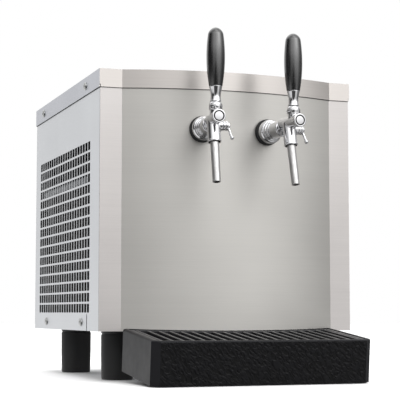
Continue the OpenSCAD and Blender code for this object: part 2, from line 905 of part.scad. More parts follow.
module collar_nut() {
    slot_w = stem_d + 2 * slot_gap;
    slot_front = slot_w / 2 / cos(swing);
    slot_top = dome_r + cut;
    color("silver") translate([0, -handle_u, 0]) difference() {
        union() {
            translate([0, 0, collar_z])
                cylinder(d = collar_d, h = collar_top - collar_z, $fn = collar_sides);
            intersection() {
                translate([0, 0, pivot_z]) sphere(dome_r);
                translate([-far / 2, -far / 2, collar_z + cut]) cube([far, far, far]);
            }
        }
        translate([0, 0, pivot_z]) sphere(d = ball_d + 2 * run_gap);
        translate([0, 0, pivot_z]) across(-pin_reach - slot_gap, pin_reach + slot_gap, pin_d + 2 * run_gap);
        translate([0, 0, collar_z - cut]) cylinder(d = ball_d - 2 * ball_lip, h = pivot_z - collar_z);
        translate([-slot_w / 2, 0, pivot_z]) rotate([90, 0, 90]) linear_extrude(slot_w)
            polygon([[slot_w / 2, 0], [slot_w / 2, slot_top],
                     [-slot_front - slot_top * tan(swing), slot_top], [-slot_front, 0]]);
    }
}

module lever_stem() {
    color("silver") translate([0, -handle_u, pivot_z]) {
        sphere(d = ball_d);
        across(-pin_reach, pin_reach, pin_d);
        cylinder(d = stem_d, h = grip_z - pivot_z - stem_short);
        rotate([-tail_lean, 0, 0]) translate([0, 0, -tail_l]) {
            cylinder(d = tail_d, h = tail_l);
            sphere(d = tail_ball_d);
        }
    }
}

module ferrule() {
    hollow_r = dome_r + dome_gap;
    base_r = sqrt(hollow_r * hollow_r - pow(ferrule_z - pivot_z, 2)) + ferrule_skirt;
    top_r = grip_base_d / 2 - ferrule_step;
    waist_r = base_r - ferrule_waist;
    color("silver") translate([0, -handle_u, 0]) difference() {
        rotate_extrude() polygon([
            [0, pivot_z + ferrule_skirt],
            [base_r, pivot_z + ferrule_skirt],
            [base_r, ferrule_z],
            [waist_r, ferrule_z + ferrule_l / 3],
            [waist_r + ferrule_step, ferrule_z + ferrule_l / 2],
            [top_r - 3 * ferrule_step, grip_z - ferrule_l / 5],
            [top_r, grip_z],
            [0, grip_z]
        ]);
        translate([0, 0, pivot_z]) sphere(hollow_r);
        cylinder(d = stem_d + 2 * line_gap, h = grip_z - stem_short);
    }
}

// Radius of the grip at a share of its length: a long swell closed by a dome
function swell_r(t) = grip_d / 2 - (grip_d - grip_base_d) / 2 * pow(2 * t - 1, 2);
function dome_share(t) = (t - grip_shoulder) / (1 - grip_shoulder);
function grip_r(t) = t <= grip_shoulder
    ? swell_r(t)
    : swell_r(t) * sqrt(max(0, 1 - pow(dome_share(t), 2)));

module handle_grip() {
    shares = [
        for (i = [0 : grip_steps - 1]) i * grip_shoulder / grip_steps,
        for (i = [0 : dome_steps]) grip_shoulder + (1 - grip_shoulder) * sin(i * 90 / dome_steps)
    ];
    color("#101012") translate([0, -handle_u, grip_z]) rotate_extrude()
        polygon(concat([for (t = shares) [grip_r(t), t * grip_l]], [[0, 0]]));
}

module valve_plunger() {
    slot_u = handle_u + tail_l * sin(tail_lean);
    slot_w = tail_ball_d + 2 * tail_gap;
    slot_deep = slot_w / 2 + tail_l * (1 - cos(tail_lean));
    slot_top = slot_w / 2 + nose_bore_d * tan(tail_lean);
    color("gold") difference() {
        union() {
            out(seat_u - disc_gap - disc_t, seat_u - disc_gap, disc_d, nose_rise);
            out(seat_u - disc_gap - eps, slot_u, plunger_rod_d, nose_rise);
            out(slot_u - yoke_l / 2, slot_u + yoke_l / 2, plug_d, nose_rise);
        }
        translate([-slot_w / 2, -slot_u, nose_rise]) rotate([90, 0, 90]) linear_extrude(slot_w)
            polygon([[-slot_w / 2, -slot_deep], [slot_w / 2, -slot_deep], [slot_w / 2, 0],
                     [slot_top, nose_bore_d], [-slot_top, nose_bore_d], [-slot_w / 2, 0]]);
    }
}

module flow_lever() {
    x0 = boss_x + shank_gap;
    x1 = x0 + flow_hub_l;
    color("silver") translate([0, -flow_u, flow_z]) {
        across(flow_root, x1, spindle_d);
        across(x0, x1, boss_d - 1);
        across(x1 - eps, x1 + flow_nut_l, boss_d - 6);
        translate([x1, 0, 0]) rod([0, 0, 0], flow_tip, flow_rod_d / 2);
        translate([x1, 0, 0] + flow_tip) sphere(d = flow_ball_d);
    }
}

// Cooling unit

module condenser_core() {
    inner_l = cond_l - 2 * plate_t;
    inner_z = pan_top + channel_h;
    inner_h = cond_h - 2 * channel_h;
    color("rosybrown") {
        for (i = [1 : fin_count]) {
            translate([cond_x, cond_y + plate_t + i * inner_l / (fin_count + 1) - fin_t / 2, inner_z])
                cube([cond_t, fin_t, inner_h]);
        }
        for (r = [1 : tube_rows]) {
            translate([cond_x + cond_t / 2, 0, inner_z + r * inner_h / (tube_rows + 1)])
                back(cond_y + plate_t, cond_y + cond_l - plate_t, tube_d);
        }
    }
}

module condenser_frame() {
    color("lightgray") translate([cond_x, cond_y, pan_top]) {
        difference() {
            cube([cond_t, cond_l, cond_h]);
            translate([-cut, plate_t, channel_h])
                cube([cond_t + 2 * cut, cond_l - 2 * plate_t, cond_h - 2 * channel_h]);
        }
    }
}

module fan_shroud() {
    color("gray") difference() {
        translate([cond_x + cond_t, cond_y, pan_top]) cube([plate_t, cond_l, cond_h]);
        translate([0, fan_y, fan_z]) across(cond_x, 0, fan_d + 2 * fan_gap);
    }
}

module fan_motor() {
    reach = fan_d / 2 + fan_gap + post;
    color("dimgray") translate([0, fan_y, fan_z]) difference() {
        union() {
            across(motor_x, motor_x + motor_l, hub_d);
            for (a = [45 : 90 : 315]) rotate([a, 0, 0]) {
                translate([motor_x, 0, -post / 2]) cube([post / 2, reach, post]);
                translate([fan_x, reach - post / 2, -post / 2])
                    cube([motor_x + post / 2 - fan_x, post / 2, post]);
            }
        }
        across(motor_x - cut, motor_x + motor_l - post / 2, fan_shaft_d + 2 * run_gap);
    }
}

module fan_blades() {
    x0 = motor_x - fan_clear - blade_w;
    color("#222222") translate([0, fan_y, fan_z]) {
        across(x0, x0 + blade_w, hub_d);
        across(x0, motor_x + motor_l / 2, fan_shaft_d);
        intersection() {
            across(x0, x0 + blade_w, fan_d);
            for (i = [0 : blade_count - 1]) rotate([i * 360 / blade_count, 0, 0])
                translate([x0 + blade_w / 2, 0, fan_d / 4]) rotate([0, 0, blade_pitch])
                    cube([blade_t, fan_d / 3, fan_d / 2], center = true);
        }
    }
}

module compressor() {
    r = pot_d / 2;
    foot_w = 2 * (r + pot_edge);
    color("#202124") translate([pot_x, pot_y, 0]) {
        translate([0, 0, pot_z]) difference() {
            union() {
                cylinder(r = r, h = pot_side_h);
                translate([0, 0, pot_side_h]) cylinder(r1 = r, r2 = pot_top_r, h = pot_h - pot_side_h);
            }
            translate([0, 0, pot_wall]) cylinder(r = r - pot_wall, h = pot_side_h - 2 * pot_wall);
        }
        difference() {
            translate([-foot_w / 2, -foot_w / 2, pot_z - pot_foot]) cube([foot_w, foot_w, pot_foot + eps]);
            grommet_places() cylinder(d = grommet_d / 2 + 2 * line_gap, h = far);
        }
    }
}

module grommet_places() {
    o = pot_d / 2 - pot_edge;
    for (sx = [-1, 1], sy = [-1, 1]) translate([sx * o, sy * o, 0]) children();
}

module compressor_grommets() {
    color("#151515") translate([pot_x, pot_y, pan_top]) grommet_places() {
        cylinder(d = grommet_d, h = grommet_h);
        cylinder(d = grommet_d / 2, h = grommet_h + pot_foot + grommet_tip);
    }
}

module refrigerant_lines() {
    end_y = cond_y + cond_l;
    loop_y = end_y + loop_out;
    cond_mid_x = cond_x + cond_t / 2;
    pot_r = pot_d / 2 + pipe_seat;
    side_x = pot_x - pot_r - 2 * loop_out;
    high_z = fan_z + cond_h * 0.3;
    top_z0 = drier_z + drier_l;
    suction_x = pot_x - pot_d * 0.3;
    suction_y = foam_y1 + 2 * loop_out;
    suction_z = pot_z + pot_h / 2;
    color("peru") {
        pipe([[pot_x - pot_r, pot_y, suction_z], [side_x, pot_y, suction_z], [side_x, loop_y, high_z],
              [cond_mid_x, loop_y, high_z], [cond_mid_x, end_y, high_z]], pipe_r);
        pipe([[cond_mid_x, end_y, low_z], [cond_mid_x, loop_y, low_z], [drier_x, loop_y, low_z],
              [drier_x, drier_y, low_z], [drier_x, drier_y, drier_z]], thin_pipe_r);
        pipe([[drier_x, drier_y, top_z0], [drier_x, drier_y, top_z0 + loop_out],
              [drier_x, foam_y1 + pipe_seat, top_z0 + loop_out]], thin_pipe_r);
        pipe([[suction_x, foam_y1 + pipe_seat, suction_z], [suction_x, suction_y, suction_z],
              [pot_x, suction_y, suction_z], [pot_x, pot_y - pot_r, suction_z]], pipe_r);
    }
}

module filter_drier() {
    color("peru") translate([drier_x, drier_y, drier_z]) {
        cylinder(d1 = drier_tail_d, d2 = drier_d, h = drier_cone);
        translate([0, 0, drier_cone - eps]) cylinder(d = drier_d, h = drier_l - 2 * drier_cone + 2 * eps);
        translate([0, 0, drier_l - drier_cone]) cylinder(d1 = drier_d, d2 = drier_tail_d, h = drier_cone);
    }
}

// Holes of the beer lines through the foam and the block
module line_holes(gap) {
    for (side = [-1, 1]) on_wall(side) out(-outlet_u - pipe_seat, 0, line_d + 2 * gap);
    for (sx = [-1, 1]) translate([sx * inlet_x, 0, inlet_line_z])
        back(inlet_end_y - pipe_seat, far, line_d + 2 * gap);
}

module foam_housing() {
    w = foam_x1 - foam_x0;
    d = foam_y1 - foam_y0;
    color("#1c1c1e") difference() {
        translate([foam_x0, foam_y0, foam_z0]) cube([w, d, foam_z1 - foam_z0]);
        translate([foam_x0 + foam_wall, foam_y0 + foam_wall, foam_z0 + foam_wall])
            cube([w - 2 * foam_wall, d - 2 * foam_wall, far]);
        line_holes(line_gap);
    }
}

module foam_lid() {
    color("#1c1c1e") translate([foam_x0, foam_y0, foam_z1])
        cube([foam_x1 - foam_x0, foam_y1 - foam_y0, lid_foam_t]);
}

module cold_block() {
    x0 = foam_x0 + foam_wall + block_gap;
    z0 = foam_z0 + foam_wall;
    w = foam_x1 - foam_x0 - 2 * (foam_wall + block_gap);
    h = foam_z1 - z0;
    color("lightsteelblue") difference() {
        translate([x0, block_y0, z0]) cube([w, block_y1 - block_y0, h]);
        translate([x0 + block_side, block_y0 + block_wall, z0 + block_side])
            cube([w - 2 * block_side, block_y1 - block_y0 - 2 * block_wall, h - 2 * block_side]);
        line_holes(line_gap);
    }
}

module beer_inlet_lines() {
    color("silver") for (sx = [-1, 1]) translate([sx * inlet_x, 0, inlet_line_z])
        back(inlet_end_y, body_d - sheet_t - stub_l + line_seat, line_d);
}

module beer_outlet_lines() {
    color("silver") for (side = [-1, 1]) on_wall(side) out(-outlet_u, -shank_in / 2, line_d);
}

// Rear fittings

module beer_inlet(side) {
    color("gray") translate([side * inlet_x, body_d, inlet_line_z]) difference() {
        union() {
            rotate([-90, 0, 0]) cylinder(d = hex_d, h = hex_t, $fn = 6);
            back(0, fitting_out, spigot_d);
            back(-sheet_t - stub_l, eps, stub_d);
            translate([0, -sheet_t - back_nut_t, 0]) rotate([-90, 0, 0])
                cylinder(d = hex_d, h = back_nut_t, $fn = 6);
        }
        back(-far, fitting_out + cut, spigot_d * 0.6);
        back(-far, -sheet_t - stub_l + line_seat + pipe_seat, line_d + 2 * line_gap);
    }
}

module thermostat_body() {
    color("#151515") translate([knob_x, body_d - sheet_t, knob_z]) difference() {
        translate([-thermo_box.x / 2, -thermo_box.y, -thermo_box.z / 2]) cube(thermo_box);
        back(-thermo_box.y + spindle_end, cut, 2 * spindle_r + 2 * run_gap);
    }
}

module thermostat_knob() {
    color("#151515") translate([knob_x, body_d + seam_gap, knob_z]) {
        back(0, knob_rim, knob_d);
        back(knob_rim - eps, knob_h, knob_grip_d);
        back(-sheet_t - thermo_box.y / 2, eps, 2 * spindle_r);
        translate([-pointer_w / 2, knob_h - pointer_in, 0]) cube([pointer_w, pointer_w, pointer_l]);
    }
}

module switch_housing() {
    in_w = switch_w - 2 * switch_lip - 2 * seam_gap;
    in_h = switch_hgt - 2 * switch_lip - 2 * seam_gap;
    room_w = rocker_w + 2 * seam_gap;
    room_h = rocker_hgt - 2 * rocker_play;
    color("#151515") translate([switch_x, body_d, switch_z]) difference() {
        union() {
            translate([-switch_w / 2, 0, -switch_hgt / 2]) cube([switch_w, switch_lip, switch_hgt]);
            translate([-in_w / 2, -switch_depth, -in_h / 2]) cube([in_w, switch_depth + eps, in_h]);
        }
        translate([-room_w / 2, -rocker_room, -room_h / 2]) cube([room_w, far, room_h]);
        across(-rocker_w / 2 - 1, rocker_w / 2 + 1, 2 * rocker_pin_r + 2 * run_gap);
    }
}

module switch_rocker() {
    color("darkred") translate([switch_x, body_d, switch_z]) rotate([-rocker_tilt, 0, 0]) {
        translate([-rocker_w / 2, 0, 0]) rotate([90, 0, 90]) linear_extrude(rocker_w)
            polygon([[-rocker_back, 0], [rocker_side, -rocker_half], [rocker_edge, -rocker_half],
                     [rocker_dip, 0], [rocker_edge, rocker_half], [rocker_side, rocker_half]]);
        across(-rocker_w / 2 - rocker_pin_l, rocker_w / 2 + rocker_pin_l, 2 * rocker_pin_r);
    }
}

module power_inlet() {
    in_w = socket_w - 2 * socket_ear - 2 * seam_gap;
    in_h = socket_hgt - 2 * switch_lip - 2 * seam_gap;
    color("#151515") translate([socket_x, body_d, socket_z]) difference() {
        union() {
            translate([-socket_w / 2, 0, -socket_hgt / 2]) cube([socket_w, switch_lip, socket_hgt]);
            translate([-in_w / 2, -switch_depth, -in_h / 2]) cube([in_w, switch_depth + eps, in_h]);
        }
        translate([-socket_in_w / 2, -socket_depth, -socket_in_h / 2]) cube([socket_in_w, far, socket_in_h]);
    }
}

placed() base_pan();
placed() front_panel();
placed() side_panel(-1);  // left_side_panel
placed() side_panel(1);  // right_side_panel
placed() rear_panel();
placed() top_lid();
placed() panel_screws();
placed() base_screws();
placed() feet();
placed() condenser_core();
placed() condenser_frame();
placed() fan_shroud();
placed() fan_motor();
placed() fan_blades();
placed() compressor();
placed() compressor_grommets();
placed() refrigerant_lines();
placed() filter_drier();
placed() foam_housing();
placed() foam_lid();
placed() cold_block();
placed() beer_inlet_lines();
placed() beer_outlet_lines();
placed() beer_inlet(-1);  // left_beer_inlet
placed() beer_inlet(1);  // right_beer_inlet
placed() thermostat_body();
placed() thermostat_knob();
placed() switch_housing();
placed() switch_rocker();
placed() power_inlet();
placed() tray_arms();
placed() drip_tray();
placed() drip_grate();
placed() on_wall(-1) wall_gasket();  // left_wall_gasket
placed() on_wall(-1) rosette();  // left_rosette
placed() on_wall(-1) shank();  // left_shank
placed() on_wall(-1) shank_nut();  // left_shank_nut
placed() on_wall(-1) tap_body();  // left_tap_body
placed() on_wall(-1) front_cap();  // left_front_cap
placed() on_wall(-1) spout();  // left_spout
placed() on_wall(-1) collar_nut();  // left_collar_nut
placed() on_wall(-1) lever_stem();  // left_lever_stem
placed() on_wall(-1) ferrule();  // left_ferrule
placed() on_wall(-1) handle_grip();  // left_handle_grip
placed() on_wall(-1) valve_plunger();  // left_valve_plunger
placed() on_wall(-1) flow_lever();  // left_flow_lever
placed() on_wall(1) wall_gasket();  // right_wall_gasket
placed() on_wall(1) rosette();  // right_rosette
placed() on_wall(1) shank();  // right_shank
placed() on_wall(1) shank_nut();  // right_shank_nut
placed() on_wall(1) tap_body();  // right_tap_body
placed() on_wall(1) front_cap();  // right_front_cap
placed() on_wall(1) spout();  // right_spout
placed() on_wall(1) collar_nut();  // right_collar_nut
placed() on_wall(1) lever_stem();  // right_lever_stem
placed() on_wall(1) ferrule();  // right_ferrule
placed() on_wall(1) handle_grip();  // right_handle_grip
placed() on_wall(1) valve_plunger();  // right_valve_plunger
placed() on_wall(1) flow_lever();  // right_flow_lever
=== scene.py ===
"""Counter-top draft beer dispenser with two taps: its finishes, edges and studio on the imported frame."""
import json
import math

import bmesh
import bpy
from mathutils import Matrix, Vector

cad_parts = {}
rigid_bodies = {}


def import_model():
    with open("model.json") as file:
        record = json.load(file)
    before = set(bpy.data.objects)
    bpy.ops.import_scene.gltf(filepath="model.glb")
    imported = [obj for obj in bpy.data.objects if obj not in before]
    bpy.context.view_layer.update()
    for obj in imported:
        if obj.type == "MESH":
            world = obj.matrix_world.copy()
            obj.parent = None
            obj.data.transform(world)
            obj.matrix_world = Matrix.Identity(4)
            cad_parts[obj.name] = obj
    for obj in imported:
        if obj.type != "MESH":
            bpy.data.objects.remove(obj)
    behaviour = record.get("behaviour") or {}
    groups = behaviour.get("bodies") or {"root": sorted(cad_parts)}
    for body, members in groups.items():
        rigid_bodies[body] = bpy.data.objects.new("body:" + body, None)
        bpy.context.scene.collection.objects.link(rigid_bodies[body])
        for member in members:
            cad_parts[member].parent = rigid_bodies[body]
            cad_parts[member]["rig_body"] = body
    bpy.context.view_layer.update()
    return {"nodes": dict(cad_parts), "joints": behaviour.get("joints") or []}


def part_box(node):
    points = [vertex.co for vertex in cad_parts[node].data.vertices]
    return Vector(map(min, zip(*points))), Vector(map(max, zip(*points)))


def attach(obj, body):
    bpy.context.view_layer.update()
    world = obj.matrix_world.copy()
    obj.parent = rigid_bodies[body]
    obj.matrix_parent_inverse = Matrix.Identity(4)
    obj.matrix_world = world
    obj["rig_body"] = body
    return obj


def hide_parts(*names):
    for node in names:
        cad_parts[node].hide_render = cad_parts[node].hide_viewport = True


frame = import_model()

bl_info = {
    "name": "Draft beer dispenser",
    "version": (1, 0, 0),
    "blender": (4, 5, 0),
    "location": "3D View > Sidebar > Dispenser",
    "description": "Finishes and fine shapes of a two-tap draft beer dispenser",
    "category": "Object",
}

MM = 0.001
SIDES = ("left", "right")
UP = Vector((0, 0, 1))
ORIGIN = Matrix.Identity(4)
WELD = 1e-6
FLAT_ANGLE = math.radians(0.05)
FOLD_ANGLE = math.radians(12)
SHARP_ANGLE = math.radians(38)
EDGE_ANGLE = math.radians(40)
SOFT_ANGLE = math.radians(20)
# Shares of a normal along an axis, past which a face counts as looking that way
FACING = 0.5
MOSTLY = 0.7
NODES = frame["nodes"]
JOINTS = {joint["name"]: joint for joint in frame["joints"]}

# Cabinet landmarks, from the frame: the plane of the front strips, the bottom edge and the bow of the front
SHEET = 1.2 * MM
SEAM = 0.3 * MM
STRIP_WIDTH = 34 * MM
FRONT_LOW, FRONT_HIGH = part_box("front_panel")
HALF_WIDTH = FRONT_HIGH.x
STRIP_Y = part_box("left_side_panel")[0].y - SHEET - SEAM
BOTTOM_Z = FRONT_LOW.z
BOW_RISE = STRIP_Y - FRONT_LOW.y
BOW_HALF = HALF_WIDTH - STRIP_WIDTH
BOW_RADIUS = (BOW_HALF ** 2 + BOW_RISE ** 2) / (2 * BOW_RISE)
BOW_Y = STRIP_Y + BOW_RADIUS - BOW_RISE

# The tray slopes forward, and its grate lifts square to its rim
TRAY_UP = 4.6 * MM
LIFT_AXIS = Vector(JOINTS["grate_lift"]["axis"])
TRAY_SLOPE = math.atan2(-LIFT_AXIS.y, LIFT_AXIS.z)
TRAY_PLACE = Matrix.Translation((0, STRIP_Y, BOTTOM_Z + TRAY_UP)) @ Matrix.Rotation(TRAY_SLOPE, 4, "X")

# Painted shade beside joints in the sheets, under the lid's skirt and beside the strips: axis, direction into
# the sheet, edge
SEAM_SHADE = 1.5 * MM
LID_SKIRT = 28 * MM
LID_SEAM = ("Z", -1.0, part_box("top_lid")[1].z - LID_SKIRT)
FRONT_SEAM = ("Y", 1.0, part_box("left_side_panel")[0].y)


def hex_colour(text):
    """Linear RGB of an sRGB hex colour."""
    parts = [int(text[i:i + 2], 16) / 255 for i in (1, 3, 5)]
    return tuple(c / 12.92 if c <= 0.04045 else ((c + 0.055) / 1.055) ** 2.4 for c in parts)


def colour(name, description, text):
    """A colour that the user can change."""
    return bpy.props.FloatVectorProperty(
        name=name, description=description, default=hex_colour(text), subtype="COLOR", min=0, max=1)


def length(name, description, millimetres):
    """A length that the user can change."""
    return bpy.props.FloatProperty(
        name=name, description=description, default=millimetres * MM, min=0, unit="LENGTH", precision=5)


class DispenserFinishes(bpy.types.PropertyGroup):
    """Colours of the dispenser's materials."""
    front_steel: colour("Front steel", "Brushed stainless of the bowed front", "#C9C7C3")
    strip_steel: colour("Strip steel", "Stainless of the flat corner strips", "#C7C3C1")
    sheet_steel: colour("Sheet steel", "Stainless of the lid", "#CDC8C4")
    side_steel: colour("Side steel", "Sheet of the sides, the back and the base", "#D3D5D8")
    fold_steel: colour("Fold steel", "Sheet of the lid's side skirts", "#C5C7CD")
    # Painted shade: the lid's top is darker than its other sheets, so that the light from above doesn't burn
    # it
    shaded_top_steel: colour("Top steel", "Sheet of the lid's top", "#9FA1A5")
    chrome: colour("Chrome", "Plating of the taps", "#E6E6E8")
    spout: colour("Spouts", "Satin stainless of the spouts", "#D3D2D1")
    grip: colour("Grips", "Black phenolic of the tap grips", "#0A0A0B")
    rubber: colour("Rubber", "Feet, grommets and wall gaskets", "#151516")
    tray: colour("Tray", "Black ABS of the drip tray", "#101014")
    grate: colour("Grate", "Black ABS of the grate", "#242427")
    # Darker from dust, and darker still as painted shade inside the cabinet
    fins: colour("Fins", "Dusty aluminium fins of the condenser", "#3B3530")
    zinc: colour("Zinc", "Galvanised sheet around the condenser", "#95989B")
    copper: colour("Copper", "Refrigerant lines and filter drier", "#B9754F")
    enamel: colour("Enamel", "Black enamel of the compressor and the arms", "#121316")
    foam: colour("Foam", "Insulation round the cold block", "#1C1C1E")
    # Painted shade: a dark coat on the inner faces of the sheets, for the shade inside the cabinet
    inner_shade: colour("Inner shade", "Dark primer inside the sheets", "#141517")
    fittings: colour("Fittings", "Black plastic of the rear fittings", "#141415")
    rocker: colour("Rocker", "Red plastic of the switch", "#A4161A")
    floor: colour("Floor", "Pale floor of the stage", "#F8F8F8")


class DispenserDetails(bpy.types.PropertyGroup):
    """Sizes of the dispenser's fine shapes."""
    fold_radius: length("Fold radius", "Rounding of the folded sheet edges", 1.1)
    cut_radius: length("Cut radius", "Rounding of the cut sheet edges", 0.3)
    lip_radius: length("Lip radius", "Rounding of the tray's upper edge", 3.0)
    mould_radius: length("Mould radius", "Rounding of the moulded plastic edges", 0.8)
    fin_pitch: length("Fin pitch", "Distance between two fins of the condenser", 2.7)
    brush_length: length("Brush length", "Length of the lines in the brushed steel", 110)
    brush_height: length("Brush height", "Height of the lines in the brushed steel", 1.1)
    grain_size: length("Grain size", "Height of a wrinkle in the tray's leather grain", 4.5)
    cast_voxel: length("Cast voxel", "Fineness of the tap bodies", 0.5)


def finishes():
    """The scene's colours of the dispenser."""
    return bpy.context.scene.dispenser_finishes


def details():
    """The scene's fine sizes of the dispenser."""
    return bpy.context.scene.dispenser_details


# Materials


def plug(tree, node, inputs):
    """Sets a node's inputs, or links them where a value is a socket or a list of sockets."""
    for key, value in inputs.items():
        for each in value if isinstance(value, list) else [value]:
            if isinstance(each, bpy.types.NodeSocket):
                tree.links.new(each, node.inputs[key])
            else:
                node.inputs[key].default_value = each


def add(tree, kind, inputs=None, **settings):
    """Adds a node with its settings, inputs and links."""
    node = tree.nodes.new(kind)
    for name, value in settings.items():
        setattr(node, name, value)
    plug(tree, node, inputs or {})
    return node


def start(name):
    """A new material, its tree, its shader and the Object coordinates."""
    made = bpy.data.materials.new(name)
    made.use_nodes = True
    tree = made.node_tree
    shader = tree.nodes["Principled BSDF"]
    place = add(tree, "ShaderNodeTexCoord").outputs["Object"]
    return made, tree, shader, place


def per(millimetres):
    """Texture scale of a pattern of this size."""
    return 1 / (millimetres * MM)


def rgba(linear, share=1.0):
    """A socket's colour, darkened or lightened by a share."""
    return (linear[0] * share, linear[1] * share, linear[2] * share, 1)


def seam_shade(tree, place, tone, axis, sign, edge):
    """Painted shade: darkens a colour beside a joint in the sheets, as the joint's shadow would."""
    along = add(tree, "ShaderNodeSeparateXYZ", {0: place}).outputs[axis]
    from_edge = add(tree, "ShaderNodeMath", {0: along, 1: -edge}, operation="ADD")
    inside = add(tree, "ShaderNodeMath", {0: from_edge.outputs[0], 1: sign}, operation="MULTIPLY")
    share = add(tree, "ShaderNodeMapRange", {
        "Value": inside.outputs[0], "From Min": 0.6 * SEAM_SHADE, "From Max": SEAM_SHADE,
        "To Min": 0.4, "To Max": 1.0})
    return add(tree, "ShaderNodeVectorMath", {
        0: tone, "Scale": share.outputs["Result"]}, operation="SCALE").outputs[0]


def brushed_stainless(name, base, rough, stretch, shaded_seams=()):
    """Stainless sheet brushed along its width: fine straight lines, a tall soft highlight, drifts of tone.

    The lines of the real sheet are about 0.1 mm high, too fine to show, so they are drawn about 1 mm high.
    """
    made, tree, shader, place = start(name)
    size = details()
    lines = add(tree, "ShaderNodeMapping", {
        "Vector": place,
        "Scale": (1 / size.brush_length, 1 / size.brush_length, 1 / size.brush_height)})
    streak = add(tree, "ShaderNodeTexNoise", {
        "Vector": lines.outputs["Vector"], "Scale": 1, "Detail": 4, "Roughness": 0.65})
    drift = add(tree, "ShaderNodeTexNoise", {"Vector": place, "Scale": per(160), "Detail": 2})
    both = add(tree, "ShaderNodeMath", {0: streak.outputs["Fac"], 1: drift.outputs["Fac"]}, operation="ADD")
    tone = add(tree, "ShaderNodeMapRange", {"Value": both.outputs[0], "From Min": 0.7, "From Max": 1.3})
    mixed = add(tree, "ShaderNodeMix", {
        0: tone.outputs["Result"], 6: rgba(base, 0.93), 7: rgba(base, 1.04)}, data_type="RGBA").outputs[2]
    # Painted shade beside each joint of the sheets
    for axis, sign, edge in shaded_seams:
        mixed = seam_shade(tree, place, mixed, axis, sign, edge)
    gloss = add(tree, "ShaderNodeMapRange", {
        "Value": streak.outputs["Fac"], "From Min": 0.3, "From Max": 0.7,
        "To Min": rough - 0.04, "To Max": rough + 0.05})
    bump = add(tree, "ShaderNodeBump", {
        "Height": streak.outputs["Fac"], "Strength": 0.12, "Distance": 0.05 * MM})
    tangent = add(tree, "ShaderNodeTangent", direction_type="RADIAL", axis="Z")
    plug(tree, shader, {
        "Base Color": mixed, "Roughness": gloss.outputs["Result"], "Normal": bump.outputs["Normal"],
        "Tangent": tangent.outputs["Tangent"], "Metallic": 1, "Anisotropic": stretch,
        "Anisotropic Rotation": 0.25})
    return made


def front_stainless():
    """Coarsely brushed front: a wide soft highlight that follows the bow."""
    # Painted shade under the lid's skirt
    return brushed_stainless(
        "Brushed_stainless_front", finishes().front_steel, rough=0.5, stretch=0.25, shaded_seams=(LID_SEAM,))


def strip_stainless():
    """Brushed strips: flat, so they mirror one paler part of the room."""
    # Painted shade under the lid's skirt
    return brushed_stainless(
        "Brushed_stainless_strips", finishes().strip_steel, rough=0.4, stretch=0.3, shaded_seams=(LID_SEAM,))


def lid_stainless():
    """Satin front of the lid: a clearer sheen, drawn out upwards."""
    return brushed_stainless("Satin_stainless_lid", finishes().sheet_steel, rough=0.42, stretch=0.6)


def shaded_top_stainless():
    """Satin top of the lid, dull, in a darker colour as painted shade under the light from above: an even
    grey from every side.
    """
    return brushed_stainless("Satin_stainless_top", finishes().shaded_top_steel, rough=0.6, stretch=0.0)


def side_stainless():
    """Satin sheet of the sides, the back and the base: pale and even, with painted shade in its seams."""
    # Painted shade under the lid's skirt and beside the strips
    return brushed_stainless(
        "Satin_stainless_sides", finishes().side_steel, rough=0.4, stretch=0.2, shaded_seams=(LID_SEAM, FRONT_SEAM))


def fold_stainless():
    """Satin skirts at the lid's sides and back: a little darker than the sheets below them."""
    return brushed_stainless("Satin_stainless_folds", finishes().fold_steel, rough=0.42, stretch=0.2)


def polished_chrome():
    """Chrome plate on polished brass: a near mirror, with the faint haze of handling."""
    made, tree, shader, place = start("Polished_chrome")
    base = finishes().chrome
    haze = add(tree, "ShaderNodeTexNoise", {"Vector": place, "Scale": per(6), "Detail": 3})
    gloss = add(tree, "ShaderNodeMapRange", {
        "Value": haze.outputs["Fac"], "From Min": 0.35, "From Max": 0.7, "To Min": 0.05, "To Max": 0.1})
    mixed = add(tree, "ShaderNodeMix", {
        0: haze.outputs["Fac"], 6: rgba(base, 0.94), 7: rgba(base)}, data_type="RGBA")
    plug(tree, shader, {
        "Base Color": mixed.outputs[2], "Roughness": gloss.outputs["Result"], "Metallic": 1})
    return made


def patchy_metal(name, base, rough, patch, shade=0.7, metal=1.0):
    """Bare or plated metal with patches of tarnish, dust or spangle, of a size in millimetres."""
    made, tree, shader, place = start(name)
    patches = add(tree, "ShaderNodeTexNoise", {"Vector": place, "Scale": per(patch), "Detail": 5})
    share = add(tree, "ShaderNodeMapRange", {
        "Value": patches.outputs["Fac"], "From Min": 0.35, "From Max": 0.65})
    mixed = add(tree, "ShaderNodeMix", {
        0: share.outputs["Result"], 6: rgba(base, shade), 7: rgba(base)}, data_type="RGBA")
    gloss = add(tree, "ShaderNodeMapRange", {
        "Value": share.outputs["Result"], "To Min": rough + 0.12, "To Max": rough - 0.05})
    plug(tree, shader, {
        "Base Color": mixed.outputs[2], "Roughness": gloss.outputs["Result"], "Metallic": metal})
    return made


def spout_stainless():
    """Drawn stainless tube, blasted to an even satin."""
    return patchy_metal("Satin_stainless_spouts", finishes().spout, rough=0.34, patch=9, shade=0.92)


def dusty_shaded_fins():
    """Rolled aluminium fins under a brown film of dust, which takes half of their shine, and darker still as
    painted shade inside the cabinet.
    """
    return patchy_metal("Dusty_aluminium_fins", finishes().fins, rough=0.55, patch=14, metal=0.55)


def copper():
    """Drawn copper tube, browned in patches."""
    return patchy_metal("Drawn_copper", finishes().copper, rough=0.3, patch=12, shade=0.55)


def brass():
    """Turned brass of the valve plungers: yellow and bright."""
    return patchy_metal("Turned_brass", hex_colour("#C9A24A"), rough=0.24, patch=5, shade=0.8)


def hollow_shade_brass():
    """Unplated hollows of the taps: oxidised brass, with painted shade darkening it further."""
    return patchy_metal("Oxidised_brass", hex_colour("#2B2925"), rough=0.55, patch=3)


